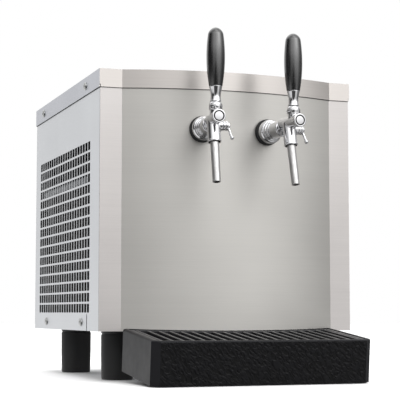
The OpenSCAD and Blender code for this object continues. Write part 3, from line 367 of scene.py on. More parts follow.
def cast_aluminium():
    """Sand-cast aluminium: pale grey with a coarse skin."""
    return patchy_metal("Cast_aluminium", hex_colour("#B4B7BA"), rough=0.48, patch=4, shade=0.85)


def turned_steel():
    """Turned or drawn stainless of the lines, shanks and nuts: bright, with faint clouds."""
    return patchy_metal("Drawn_stainless", hex_colour("#C4C4C2"), rough=0.26, patch=8, shade=0.88)


def screw_steel():
    """Zinc-plated screw heads: bright, with worn patches."""
    return patchy_metal("Zinc_plated_screws", hex_colour("#C2C3C2"), rough=0.3, patch=3, shade=0.75)


def galvanised():
    """Hot-dip zinc: flat crystals some millimetres wide, each with its own grey."""
    made, tree, shader, place = start("Galvanised_sheet")
    base = finishes().zinc
    crystals = add(tree, "ShaderNodeTexVoronoi", {"Vector": place, "Scale": per(9)})
    tone = add(tree, "ShaderNodeSeparateColor", {"Color": crystals.outputs["Color"]})
    mixed = add(tree, "ShaderNodeMix", {
        0: tone.outputs[0], 6: rgba(base, 0.85), 7: rgba(base, 1.08)}, data_type="RGBA")
    gloss = add(tree, "ShaderNodeMapRange", {"Value": tone.outputs[1], "To Min": 0.32, "To Max": 0.46})
    plug(tree, shader, {
        "Base Color": mixed.outputs[2], "Roughness": gloss.outputs["Result"], "Metallic": 1})
    return made


def moulded(name, base, rough, cell, depth, coat=0.0, shine=0.5, bend=1.5):
    """Moulded plastic, rubber or enamel: an even colour with slow drifts, and its mould's fine texture.

    The texture's cells and their depth are in millimetres, and bend is the index of refraction.
    """
    made, tree, shader, place = start(name)
    drift = add(tree, "ShaderNodeTexNoise", {"Vector": place, "Scale": per(18), "Detail": 3})
    fine = add(tree, "ShaderNodeTexNoise", {"Vector": place, "Scale": per(cell), "Detail": 2})
    mixed = add(tree, "ShaderNodeMix", {
        0: drift.outputs["Fac"], 6: rgba(base, 0.88), 7: rgba(base, 1.12)}, data_type="RGBA")
    gloss = add(tree, "ShaderNodeMapRange", {
        "Value": drift.outputs["Fac"], "From Min": 0.3, "From Max": 0.7,
        "To Min": rough - 0.03, "To Max": rough + 0.03})
    bump = add(tree, "ShaderNodeBump", {
        "Height": fine.outputs["Fac"], "Strength": 0.3, "Distance": depth * MM})
    plug(tree, shader, {
        "Base Color": mixed.outputs[2], "Roughness": gloss.outputs["Result"],
        "Normal": bump.outputs["Normal"], "IOR": bend, "Specular IOR Level": shine,
        "Coat Weight": coat, "Coat Roughness": 0.08})
    return made


def inner_shade():
    """Painted shade on the inner faces of the sheets: a dark, dull coat with a slight orange peel."""
    return moulded("Dark_primer", finishes().inner_shade, rough=0.7, cell=1.5, depth=0.03)


def phenolic():
    """Turned and polished phenolic: deep black under a clear gloss."""
    return moulded("Polished_phenolic", finishes().grip, rough=0.2, cell=3, depth=0.004, coat=0.2, bend=2.1)


def rubber():
    """Moulded rubber: dull, with a bloom that greys it a little."""
    return moulded("Moulded_rubber", finishes().rubber, rough=0.6, cell=0.8, depth=0.05)


def tray_satin():
    """Satin ABS, moulded against a fine blasted steel: a soft wide sheen."""
    return moulded("Satin_ABS_tray", finishes().tray, rough=0.46, cell=0.7, depth=0.03, shine=0.2)


def grate_satin():
    """Satin ABS of the grate: worn a little paler and smoother by glasses."""
    return moulded("Satin_ABS_grate", finishes().grate, rough=0.4, cell=0.7, depth=0.03, shine=0.35)


def fitting_plastic():
    """Moulded nylon of the fittings: near black with a half gloss."""
    return moulded("Moulded_nylon_fittings", finishes().fittings, rough=0.42, cell=0.6, depth=0.02)


def rocker_plastic():
    """Polished ABS of the switch: red with a sharp gloss."""
    return moulded("Polished_ABS_rocker", finishes().rocker, rough=0.22, cell=0.6, depth=0.01)


def enamel():
    """Stoved black enamel over pressed steel: glossy, with a slight orange peel."""
    return moulded("Stoved_black_enamel", finishes().enamel, rough=0.3, cell=2.2, depth=0.05, coat=0.4)


def insulation():
    """Elastomer foam sheet: dull and dark, with fine closed cells."""
    return moulded("Elastomer_foam", finishes().foam, rough=0.9, cell=1.4, depth=0.4)


def leather_grain():
    """ABS moulded against a leather-grain tool: leaning wrinkles, glossy on their backs and paler there as
    painted highlight, with fine pores.
    """
    made, tree, shader, place = start("Leather_grain_ABS")
    size = details().grain_size
    base = finishes().tray
    lean = add(tree, "ShaderNodeMapping", {
        "Vector": place, "Rotation": (0, math.radians(50), 0), "Scale": (1.9 * size, 1.9 * size, size)},
        vector_type="TEXTURE")
    folds = add(tree, "ShaderNodeTexNoise", {
        "Vector": lean.outputs["Vector"], "Scale": 1, "Detail": 1.5, "Roughness": 0.45, "Distortion": 0.9})
    pores = add(tree, "ShaderNodeTexNoise", {"Vector": place, "Scale": per(1.6), "Detail": 2})
    wrinkle = add(tree, "ShaderNodeMapRange", {
        "Value": folds.outputs["Fac"], "From Min": 0.36, "From Max": 0.64},
        interpolation_type="SMOOTHSTEP").outputs["Result"]
    height = add(tree, "ShaderNodeMath", {
        0: pores.outputs["Fac"], 1: 0.2, 2: wrinkle}, operation="MULTIPLY_ADD")
    # Painted highlight: the backs of the wrinkles are paler
    mixed = add(tree, "ShaderNodeMix", {0: wrinkle, 6: rgba(base, 0.2), 7: rgba(base, 0.5)}, data_type="RGBA")
    gloss = add(tree, "ShaderNodeMapRange", {"Value": wrinkle, "To Min": 0.5, "To Max": 0.3})
    bump = add(tree, "ShaderNodeBump", {
        "Height": height.outputs[0], "Strength": 1.0, "Distance": 0.6 * MM})
    plug(tree, shader, {
        "Base Color": mixed.outputs[2], "Roughness": gloss.outputs["Result"],
        "Normal": bump.outputs["Normal"], "Specular IOR Level": 0.2})
    return made


def pale_floor():
    """Painted studio floor: even and dull, with the faintest clouds."""
    made, tree, shader, place = start("Pale_floor")
    base = finishes().floor
    clouds = add(tree, "ShaderNodeTexNoise", {"Vector": place, "Scale": per(333), "Detail": 2})
    tone = add(tree, "ShaderNodeMix", {
        0: clouds.outputs["Fac"], 6: rgba(base, 0.991), 7: rgba(base, 1.012)}, data_type="RGBA")
    plug(tree, shader, {"Base Color": tone.outputs[2], "Roughness": 0.7})
    return made


MADE = {}


def finish(build):
    """The material that a function builds, made once."""
    made = bpy.data.materials.get(MADE.get(build, ""))
    if made is None:
        made = build()
        MADE[build] = made.name
    return made


# Shapes

# Longest rounding of a corner, as a share of the edges beside it
ROUNDING_SHARE = 0.49


def rounded(corners, steps=5):
    """Profile through corners (radius, height, rounding) in millimetres, each corner rounded by an arc."""
    points = [Vector(c[:2]) for c in corners]
    path = []
    for i, corner in enumerate(corners):
        here = points[i]
        if len(corner) < 3 or i in (0, len(corners) - 1):
            path.append(here)
            continue
        before, after = points[i - 1] - here, points[i + 1] - here
        reach = min(corner[2], before.length * ROUNDING_SHARE, after.length * ROUNDING_SHARE)
        first, last = here + before.normalized() * reach, here + after.normalized() * reach
        for k in range(steps + 1):
            t = k / steps
            path.append(first * (1 - t) ** 2 + here * 2 * t * (1 - t) + last * t ** 2)
    return [(p.x, p.y) for p in path]


def band(bm, near, far):
    """Faces between two rings of points, of which one may be a single point."""
    count = max(len(near), len(far))
    for k in range(count):
        n = (k + 1) % count
        if len(near) == 1:
            bm.faces.new((near[0], far[n], far[k]))
        elif len(far) == 1:
            bm.faces.new((near[k], near[n], far[0]))
        else:
            bm.faces.new((near[k], near[n], far[n], far[k]))


def loft(bm, rings):
    """A closed form through rings of points, with a face at each end."""
    for near, far in zip(rings, rings[1:]):
        band(bm, near, far)
    bm.faces.new(rings[0])
    bm.faces.new(rings[-1])


def lathe(bm, profile, place, segments=64, closed=False):
    """Turns a profile of (radius, height) in millimetres about the Z axis of a place."""
    rings = []
    for radius, height in profile:
        ring = []
        for k in range(segments if radius > WELD else 1):
            angle = 2 * math.pi * k / segments
            spot = Vector((radius * math.cos(angle), radius * math.sin(angle), height)) * MM
            ring.append(bm.verts.new(place @ spot))
        rings.append(ring)
    following = rings[1:] + rings[:1] if closed else rings[1:]
    for near, far in zip(rings, following):
        band(bm, near, far)


def cad_copy(node):
    """The merged copy of a CAD node's mesh, with its flat faces joined."""
    bm = bmesh.new()
    bm.from_mesh(NODES[node].data)
    bmesh.ops.remove_doubles(bm, verts=bm.verts, dist=WELD)
    bmesh.ops.dissolve_limit(bm, angle_limit=FLAT_ANGLE, verts=bm.verts, edges=bm.edges)
    return bm


def soften(bm, width, segments=3, chosen=None, angle=FOLD_ANGLE):
    """Rounds the sharp edges of a mesh, or those of them that are chosen."""
    edges = [e for e in bm.edges
             if e.is_manifold and e.calc_face_angle(0) > angle and (not chosen or chosen(e))]
    bmesh.ops.bevel(bm, geom=edges, offset=width, segments=segments, profile=0.5, affect="EDGES",
                    clamp_overlap=True, loop_slide=True)


def show(name, bm, materials=()):
    """An object from a mesh, smooth with sharp folds, in the scene."""
    mesh = bpy.data.meshes.new(name)
    bm.to_mesh(mesh)
    bm.free()
    for material in materials:
        mesh.materials.append(material)
    mesh.shade_smooth()
    mesh.set_sharp_from_angle(angle=SHARP_ANGLE)
    made = bpy.data.objects.new(name, mesh)
    bpy.context.scene.collection.objects.link(made)
    return made


def solid(name, bm, materials=()):
    """An object from closed forms, with their faces turned outwards."""
    bmesh.ops.recalc_face_normals(bm, faces=bm.faces)
    return show(name, bm, materials)


def settle(made):
    """Turns an object's modifiers into plain mesh."""
    bpy.context.view_layer.update()
    evaluated = made.evaluated_get(bpy.context.evaluated_depsgraph_get())
    mesh = bpy.data.meshes.new_from_object(evaluated)
    made.modifiers.clear()
    made.data = mesh
    mesh.name = made.name
    return made


def flat_normals(made):
    """Keeps large faces flat in shading beside their rounded edges."""
    made.modifiers.new("Flat faces", "WEIGHTED_NORMAL").keep_sharp = True
    return settle(made)


def belongs(made, slot, body, *nodes):
    """Ties a finished piece to its body and hides the CAD nodes that it stands for; its material slot is not
    used.
    """
    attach(made, body)
    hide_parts(*nodes)
    return made


def paint(build, *nodes):
    """Gives CAD nodes that keep their own shape a material."""
    for node in nodes:
        NODES[node].data.materials.clear()
        NODES[node].data.materials.append(finish(build))


def body_of(node):
    """The body that carries a CAD node."""
    return NODES[node]["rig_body"]


def softened(name, node, build, slot, width, segments=3, angle=FOLD_ANGLE):
    """A CAD node with its edges rounded."""
    bm = cad_copy(node)
    soften(bm, width, segments, angle=angle)
    made = flat_normals(show(name, bm, [finish(build)]))
    return belongs(made, slot, body_of(node), node)


def boolean(made, other, operation):
    """Cuts or trims an object with another one, which is then removed."""
    step = made.modifiers.new("Cut", "BOOLEAN")
    step.operation = operation
    step.object = other
    step.solver = "EXACT"
    settle(made)
    bpy.data.objects.remove(other)
    return made


# Geometry Nodes


def node_tree(name, sizes):
    """A tree with a geometry in and out and named size inputs, its input node and its output node."""
    tree = bpy.data.node_groups.new(name, "GeometryNodeTree")
    tree.interface.new_socket("Geometry", in_out="INPUT", socket_type="NodeSocketGeometry")
    for label, kind in sizes:
        tree.interface.new_socket(label, in_out="INPUT", socket_type="NodeSocket" + kind)
    tree.interface.new_socket("Geometry", in_out="OUTPUT", socket_type="NodeSocketGeometry")
    return tree, tree.nodes.new("NodeGroupInput").outputs, tree.nodes.new("NodeGroupOutput").inputs


def grow(made, tree, values):
    """Runs a tree on an object with its named sizes, and keeps the result as plain mesh."""
    step = made.modifiers.new(tree.name, "NODES")
    step.node_group = tree
    for item in tree.interface.items_tree:
        if item.in_out == "INPUT" and item.name in values:
            step[item.identifier] = values[item.name]
    settle(made)
    made.data.shade_smooth()
    made.data.set_sharp_from_angle(angle=SHARP_ANGLE)
    return made


def close_tree(tree, geometry, material, output):
    """Ends a tree in real geometry with its material."""
    real = add(tree, "GeometryNodeRealizeInstances", {"Geometry": geometry})
    painted = add(tree, "GeometryNodeSetMaterial", {
        "Geometry": real.outputs["Geometry"], "Material": material})
    tree.links.new(painted.outputs["Geometry"], output[0])


def punched_tree():
    """Rows and columns of punched cells, welded to the plain sheet around them."""
    tree, size, out = node_tree("Punched sheet", (
        ("Columns", "Int"), ("Rows", "Int"), ("Column Pitch", "Float"), ("Row Pitch", "Float"),
        ("First Cell", "Vector"), ("Cell", "Object"), ("Material", "Material")))
    across = add(tree, "ShaderNodeCombineXYZ", {"Y": size["Column Pitch"]})
    upward = add(tree, "ShaderNodeCombineXYZ", {"Z": size["Row Pitch"]})
    row = add(tree, "GeometryNodeMeshLine", {
        "Count": size["Columns"], "Start Location": size["First Cell"], "Offset": across.outputs[0]})
    column = add(tree, "GeometryNodeMeshLine", {"Count": size["Rows"], "Offset": upward.outputs[0]})
    spread = add(tree, "GeometryNodeInstanceOnPoints", {
        "Points": row.outputs[0], "Instance": column.outputs[0]})
    spots = add(tree, "GeometryNodeRealizeInstances", {"Geometry": spread.outputs[0]})
    cell = add(tree, "GeometryNodeObjectInfo", {"Object": size["Cell"], "As Instance": True})
    cells = add(tree, "GeometryNodeInstanceOnPoints", {
        "Points": spots.outputs[0], "Instance": cell.outputs["Geometry"]})
    real = add(tree, "GeometryNodeRealizeInstances", {"Geometry": cells.outputs[0]})
    joined = add(tree, "GeometryNodeJoinGeometry", {0: [real.outputs[0], size["Geometry"]]})
    welded = add(tree, "GeometryNodeMergeByDistance", {"Geometry": joined.outputs[0], "Distance": 10 * WELD})
    close_tree(tree, welded.outputs[0], size["Material"], out)
    return tree


def screw_tree():
    """A screw head on each point, along the point's axis, its recess turned as it happened to stop."""
    tree, size, out = node_tree("Screw heads", (("Head", "Object"), ("Material", "Material")))
    axis = add(tree, "GeometryNodeInputNamedAttribute", {"Name": "axis"}, data_type="FLOAT_VECTOR")
    along = add(tree, "FunctionNodeAlignRotationToVector", {"Vector": axis.outputs[0]}, axis="Z")
    stop = add(tree, "FunctionNodeRandomValue", {2: 0.0, 3: math.pi, "Seed": 4}, data_type="FLOAT")
    turn = add(tree, "ShaderNodeCombineXYZ", {"Z": stop.outputs[1]})
    turned = add(tree, "FunctionNodeRotateRotation", {
        "Rotation": along.outputs[0], "Rotate By": turn.outputs[0]}, rotation_space="LOCAL")
    head = add(tree, "GeometryNodeObjectInfo", {"Object": size["Head"], "As Instance": True})
    heads = add(tree, "GeometryNodeInstanceOnPoints", {
        "Points": size["Geometry"], "Instance": head.outputs["Geometry"], "Rotation": turned.outputs[0]})
    close_tree(tree, heads.outputs[0], size["Material"], out)
    return tree


def fin_tree():
    """A row of fins along Y."""
    tree, size, out = node_tree("Fin row", (
        ("Count", "Int"), ("Pitch", "Float"), ("First Fin", "Vector"), ("Fin", "Object"),
        ("Material", "Material")))
    step = add(tree, "ShaderNodeCombineXYZ", {"Y": size["Pitch"]})
    spots = add(tree, "GeometryNodeMeshLine", {
        "Count": size["Count"], "Start Location": size["First Fin"], "Offset": step.outputs[0]})
    fin = add(tree, "GeometryNodeObjectInfo", {"Object": size["Fin"], "As Instance": True})
    fins = add(tree, "GeometryNodeInstanceOnPoints", {
        "Points": spots.outputs[0], "Instance": fin.outputs["Geometry"]})
    joined = add(tree, "GeometryNodeJoinGeometry", {0: [fins.outputs[0], size["Geometry"]]})
    close_tree(tree, joined.outputs[0], size["Material"], out)
    return tree


def slat_tree():
    """A row of slats along X, each as long as the bowed rear edge allows, joined to the border."""
    tree, size, out = node_tree("Slat row", (
        ("Count", "Int"), ("Pitch", "Float"), ("Front", "Float"), ("Top", "Float"), ("Bow Radius", "Float"),
        ("Bow Centre", "Float"), ("Slat", "Object"), ("Material", "Material")))
    gaps = add(tree, "ShaderNodeMath", {0: size["Count"], 1: 1.0}, operation="SUBTRACT")
    span = add(tree, "ShaderNodeMath", {0: gaps.outputs[0], 1: size["Pitch"]}, operation="MULTIPLY")
    left = add(tree, "ShaderNodeMath", {0: span.outputs[0], 1: -0.5}, operation="MULTIPLY")
    first = add(tree, "ShaderNodeCombineXYZ", {"X": left.outputs[0], "Y": size["Front"], "Z": size["Top"]})
    step = add(tree, "ShaderNodeCombineXYZ", {"X": size["Pitch"]})
    spots = add(tree, "GeometryNodeMeshLine", {
        "Count": size["Count"], "Start Location": first.outputs[0], "Offset": step.outputs[0]})
    place = add(tree, "GeometryNodeInputPosition")
    parts = add(tree, "ShaderNodeSeparateXYZ", {0: place.outputs[0]})
    wide = add(tree, "ShaderNodeMath", {0: parts.outputs["X"], 1: 2.0}, operation="POWER")
    whole = add(tree, "ShaderNodeMath", {0: size["Bow Radius"], 1: 2.0}, operation="POWER")
    left_over = add(tree, "ShaderNodeMath", {0: whole.outputs[0], 1: wide.outputs[0]}, operation="SUBTRACT")
    root = add(tree, "ShaderNodeMath", {0: left_over.outputs[0]}, operation="SQRT")
    rear = add(tree, "ShaderNodeMath", {0: size["Bow Centre"], 1: root.outputs[0]}, operation="SUBTRACT")
    reach = add(tree, "ShaderNodeMath", {0: rear.outputs[0], 1: size["Front"]}, operation="SUBTRACT")
    scale = add(tree, "ShaderNodeCombineXYZ", {"X": 1.0, "Y": reach.outputs[0], "Z": 1.0})
    slat = add(tree, "GeometryNodeObjectInfo", {"Object": size["Slat"], "As Instance": True})
    slats = add(tree, "GeometryNodeInstanceOnPoints", {
        "Points": spots.outputs[0], "Instance": slat.outputs["Geometry"], "Scale": scale.outputs[0]})
    joined = add(tree, "GeometryNodeJoinGeometry", {0: [slats.outputs[0], size["Geometry"]]})
    close_tree(tree, joined.outputs[0], size["Material"], out)
    return tree


# Cabinet


def front_skin():
    """The bowed front with its two flat strips."""
    bm = cad_copy("front_panel")
    soften(bm, details().fold_radius)
    made = show("front_skin", bm, [finish(front_stainless), finish(strip_stainless)])
    for face in made.data.polygons:
        face.material_index = int(abs(face.center.x) > BOW_HALF + MM)
    flat_normals(made)
    return belongs(made, "front_steel", "cabinet", "front_panel")


def shade_inside(made, inward):
    """Gives the faces of a sheet that look into the cabinet a dark coat of painted shade."""
    made.data.materials.append(finish(inner_shade))
    for face in made.data.polygons:
        if face.normal.dot(inward) > FACING:
            face.material_index = len(made.data.materials) - 1


def lid_shell():
    """The lid with its folded skirt."""
    bm = cad_copy("top_lid")
    soften(bm, details().fold_radius)
    made = show("lid_shell", bm, [
        finish(build) for build in (lid_stainless, fold_stainless, inner_shade, shaded_top_stainless)])
    front, fold, inside, top = range(4)
    middle = Vector((0, 0, BOTTOM_Z))
    for face in made.data.polygons:
        normal = face.normal
        # Faces that look into the lid get painted shade
        if normal.dot(face.center - middle) < 0:
            face.material_index = inside
        # Upward faces get the darker top steel, painted shade
        elif normal.z > MOSTLY:
            face.material_index = top
        elif abs(normal.x) > MOSTLY or normal.y > MOSTLY:
            face.material_index = fold
        else:
            face.material_index = front
    flat_normals(made)
    return belongs(made, "sheet_steel", "cabinet", "top_lid")


# Punched sides, measured from the front strips and the bottom edge
GRILLE_COLUMNS = 21
GRILLE_ROWS = 16
GRILLE_PITCH = 16.7 * MM
GRILLE_HOLE = 13.4 * MM
GRILLE_Y = 58 * MM
GRILLE_Z = 28 * MM
SLIT_Y = 70 * MM
SLIT_WIDTH = 4.0 * MM
SLIT_HEIGHT = 25.0 * MM
REAR_FLANGE = 16 * MM


def punched_cell():
    """One punched square hole with its share of the sheet, the hole's edges slightly rolled."""
    bm = bmesh.new()
    edge = details().cut_radius
    rims = ((GRILLE_PITCH, 0), (GRILLE_HOLE + 2 * edge, 0), (GRILLE_HOLE, edge),
            (GRILLE_HOLE, SHEET - edge), (GRILLE_HOLE + 2 * edge, SHEET), (GRILLE_PITCH, SHEET))
    rings = []
    for wide, deep in rims:
        h = wide / 2
        corners = ((-h, -h), (h, -h), (h, h), (-h, h))
        rings.append([bm.verts.new((deep - SHEET / 2, y, z)) for y, z in corners])
    for near, far in zip(rings, rings[1:]):
        band(bm, far, near)
    return show("punched_cell", bm)


def side_sheet(side):
    """A side panel: plain margins, a slit beside the base rail, a rear flange and the punched field."""
    sign = -1 if side == "left" else 1
    low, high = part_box(f"{side}_side_panel")
    outer = sign * HALF_WIDTH
    inner = outer - sign * SHEET
    margin = (GRILLE_PITCH - GRILLE_HOLE) / 2
    field_y = STRIP_Y + GRILLE_Y - margin
    field_z = BOTTOM_Z + GRILLE_Z - margin
    field_y1 = field_y + GRILLE_COLUMNS * GRILLE_PITCH
    field_z1 = field_z + GRILLE_ROWS * GRILLE_PITCH
    slit_y = STRIP_Y + SLIT_Y
    slit_z = BOTTOM_Z + SLIT_HEIGHT
    columns = sorted([low.y, high.y, slit_y, slit_y + SLIT_WIDTH]
                     + [field_y + i * GRILLE_PITCH for i in range(GRILLE_COLUMNS + 1)])
    rows = sorted([low.z, high.z, slit_z] + [field_z + i * GRILLE_PITCH for i in range(GRILLE_ROWS + 1)])
    bm = bmesh.new()
    faces = []
    for y0, y1 in zip(columns, columns[1:]):
        for z0, z1 in zip(rows, rows[1:]):
            y, z = (y0 + y1) / 2, (z0 + z1) / 2
            in_field = field_y < y < field_y1 and field_z < z < field_z1
            in_slit = slit_y < y < slit_y + SLIT_WIDTH and z < slit_z
            if not in_field and not in_slit:
                corners = ((outer, y0, z0), (outer, y1, z0), (outer, y1, z1), (outer, y0, z1))
                faces.append(bm.faces.new([bm.verts.new(c) for c in corners]))
    bmesh.ops.remove_doubles(bm, verts=bm.verts, dist=WELD)
    rim = [e for e in bm.edges if e.is_boundary]
    back = bmesh.ops.duplicate(bm, geom=bm.faces[:])["geom"]
    moved = [g for g in back if isinstance(g, bmesh.types.BMVert)]
    bmesh.ops.translate(bm, verts=moved, vec=(inner - outer, 0, 0))
    bm.verts.ensure_lookup_table()
    pairs = {tuple(round(c / WELD) for c in v.co.yz): v for v in moved}
    for e in rim:
        if not on_field(e, field_y, field_y1, field_z, field_z1):
            a, b = e.verts
            c, d = (pairs[tuple(round(x / WELD) for x in v.co.yz)] for v in (b, a))
            bm.faces.new((a, b, c, d))
    bmesh.ops.recalc_face_normals(bm, faces=bm.faces)
    flange = bmesh.ops.create_cube(bm, size=1)["verts"]
    bmesh.ops.scale(bm, verts=flange, vec=(REAR_FLANGE - SHEET, SHEET, high.z - low.z))
    bmesh.ops.translate(bm, verts=flange, vec=(
        inner - sign * (REAR_FLANGE - SHEET) / 2, high.y - SHEET / 2, (low.z + high.z) / 2))
    made = show(f"{side}_punched_sheet", bm, [finish(side_stainless)])
    cell = punched_cell()
    first = ((outer + inner) / 2, field_y + GRILLE_PITCH / 2, field_z + GRILLE_PITCH / 2)
    grow(made, punched_tree(), {
        "Columns": GRILLE_COLUMNS, "Rows": GRILLE_ROWS, "Column Pitch": GRILLE_PITCH,
        "Row Pitch": GRILLE_PITCH, "First Cell": first, "Cell": cell, "Material": finish(side_stainless)})
    bpy.data.objects.remove(cell)
    # Painted shade on the faces that look into the cabinet and on the rear flange
    shade_inside(made, Vector((-sign, 0, 0)))
    for face in made.data.polygons:
        if (inner - face.center.x) * sign > WELD:
            face.material_index = 1
    flat_normals(made)
    return belongs(made, "sheet_steel", "cabinet", f"{side}_side_panel")


def on_field(edge, y0, y1, z0, z1):
    """Whether an edge lies on the border of the punched field."""
    y, z = ((edge.verts[0].co + edge.verts[1].co) / 2).yz
    return y0 - WELD < y < y1 + WELD and z0 - WELD < z < z1 + WELD


# Screw heads in millimetres, the cross recess in shares of them, and the screws' places on the sheets
SCREW_HEAD = 13.0
SCREW_HEIGHT = 2.6
RECESS_LONG = 0.42
RECESS_WIDE = 0.1
RECESS_FLOOR = 0.4
SIDE_SCREWS = ((107 * MM, 13 * MM), (347 * MM, 13 * MM))
LID_SCREWS = ((83 * MM, 381 * MM), (378 * MM, 381 * MM))
REAR_SCREWS = (40 * MM, 335 * MM)
REAR_SCREW_X = 196.8 * MM
LID_OVER = 1.6 * MM


def screw_head():
    """A pan head with a cross recess."""
    r, h = SCREW_HEAD / 2, SCREW_HEIGHT
    bm = bmesh.new()
    pan = [(0, 0), (r, 0), (r, 0.55 * h, 0.6), (0.86 * r, 0.93 * h, 0.7), (0.5 * r, h, 1.0), (0, h)]
    lathe(bm, rounded(pan, 3), ORIGIN, 28)
    head = solid("screw_head", bm)
    cross = bmesh.new()
    arm, half = RECESS_LONG * r, RECESS_WIDE * r
    outline = [(arm, -half), (arm, half), (half, half), (half, arm), (-half, arm), (-half, half)]
    outline += [(-x, -y) for x, y in outline]
    loft(cross, [[cross.verts.new(Vector((x, y, z * h)) * MM) for x, y in outline]
                 for z in (RECESS_FLOOR, 2 - RECESS_FLOOR)])
    return boolean(head, solid("cross", cross), "DIFFERENCE")


def sheet_screws():
    """The screw heads of the lid, the sides and the back."""
    spots = []
    for sign in (-1, 1):
        for y, z in SIDE_SCREWS:
            spots.append(((sign * HALF_WIDTH, STRIP_Y + y, BOTTOM_Z + z), (sign, 0, 0)))
        for y, z in LID_SCREWS:
            spots.append(((sign * (HALF_WIDTH + LID_OVER), STRIP_Y + y, BOTTOM_Z + z), (sign, 0, 0)))
        for z in REAR_SCREWS:
            spots.append(((sign * REAR_SCREW_X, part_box("rear_panel")[1].y, BOTTOM_Z + z), (0, 1, 0)))
    bm = bmesh.new()
    for place, axis in spots:
        bm.verts.new(place)
    made = show("screw_heads", bm)
    mark = made.data.attributes.new("axis", "FLOAT_VECTOR", "POINT")
    for i, (place, axis) in enumerate(spots):
        mark.data[i].vector = axis
    head = screw_head()
    grow(made, screw_tree(), {"Head": head, "Material": finish(screw_steel)})
    bpy.data.objects.remove(head)
    return belongs(made, "screw_steel", "cabinet", "panel_screws")


FOOT_R = 25.5
FOOT_TAPER = 0.9
FOOT_GROOVE = 1.2


def rubber_feet():
    """Four moulded feet with rounded lower edges and a groove below the base."""
    low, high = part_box("feet")
    tall = (high.z - low.z) / MM
    waist = FOOT_R - FOOT_GROOVE
    profile = rounded([
        (0, 0), (FOOT_R - FOOT_TAPER, 0, 2.4), (FOOT_R, tall * 0.5), (FOOT_R, tall - 7, 0.6),
        (waist, tall - 6, 0.6), (waist, tall - 4, 0.6), (FOOT_R, tall - 3, 0.6), (FOOT_R, tall, 0.5),
        (0, tall)])
    bm = bmesh.new()
    for x in (low.x + FOOT_R * MM, high.x - FOOT_R * MM):
        for y in (low.y + FOOT_R * MM, high.y - FOOT_R * MM):
            lathe(bm, profile, Matrix.Translation((x, y, low.z)))
    made = solid("rubber_feet", bm, [finish(rubber)])
    return belongs(made, "black_rubber", "cabinet", "feet")


# Cooling unit

FIN_THICK = 0.3 * MM
FIN_SWAY = 0.35 * MM
FIN_FOLDS = 8
TUBE_COUNT = 7
TUBE_R = 4.75


def fin_shape(wide, tall):
    """One corrugated fin, its middle at the origin."""
    bm = bmesh.new()
    rows = []
    for k in range(FIN_FOLDS + 1):
        x = wide * (k / FIN_FOLDS - 0.5)
        sway = FIN_SWAY if k % 2 else -FIN_SWAY
        rows.append([bm.verts.new((x, sway + s * FIN_THICK / 2, z * tall / 2)) for s, z in
                     ((-1, -1), (1, -1), (1, 1), (-1, 1))])
    loft(bm, rows)
    return solid("fin", bm)


def condenser():
    """Close fins on seven tubes, in their galvanised frame."""
    low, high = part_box("condenser_core")
    middle = (low + high) / 2
    pitch = details().fin_pitch
    count = int((high.y - low.y) / pitch) - 1
    long = (high.y - low.y) / MM
    bm = bmesh.new()
    for k in range(TUBE_COUNT):
        z = low.z + (k + 1) * (high.z - low.z) / (TUBE_COUNT + 1)
        place = Matrix.Translation((middle.x, low.y, z)) @ Matrix.Rotation(-math.pi / 2, 4, "X")
        lathe(bm, [(0, 0), (TUBE_R, 0), (TUBE_R, long), (0, long)], place, 20)
    made = solid("condenser_fins", bm, [finish(dusty_shaded_fins)])
    fin = fin_shape(high.x - low.x, high.z - low.z)
    first = (middle.x, middle.y - (count - 1) * pitch / 2, middle.z)
    grow(made, fin_tree(), {
        "Count": count, "Pitch": pitch, "First Fin": first, "Fin": fin, "Material": finish(dusty_shaded_fins)})
    bpy.data.objects.remove(fin)
    belongs(made, "fins", "cabinet", "condenser_core")
    return softened("condenser_channels", "condenser_frame", galvanised, "galvanised", details().cut_radius)


# Drip tray, in its own plane: X to the side, -Y forward from the strips, Z square to its rim, in millimetres

TRAY_HALF = 169.0
TRAY_DEPTH = 154.0
TRAY_MIDDLE = 70.0
TRAY_BEVEL = 11.0
TRAY_GAP = 1.0
RIM_SLACK = 0.05
GRAIN_SLACK = 2.0
GRAIN_FACING = 0.95
GRATE_EDGE = 6.6
GRATE_BORDER = 6.0
GRATE_TOP = -1.0
GRATE_THICK = 6.0
SLAT_COUNT = 20
SLAT_WIDTH = 5.0
SLAT_ROUND = 1.1
SLAT_SINK = 0.05


def tray_outline(inset, steps=48):
    """Outline of the tray drawn in by an inset, from the rear left round the front."""
    w, d = TRAY_HALF - inset, TRAY_DEPTH - inset
    b = TRAY_BEVEL - inset * (2 - math.sqrt(2))
    front = [(-w, -d + b), (-w + b, -d), (w - b, -d), (w, -d + b)]
    radius = BOW_RADIUS / MM + TRAY_GAP + inset
    centre = (BOW_Y - STRIP_Y) / MM
    rear = []
    for k in range(steps + 1):
        x = w - 2 * w * k / steps
        rear.append((x, min(0, centre - math.sqrt(radius ** 2 - x ** 2))))
    return front + rear


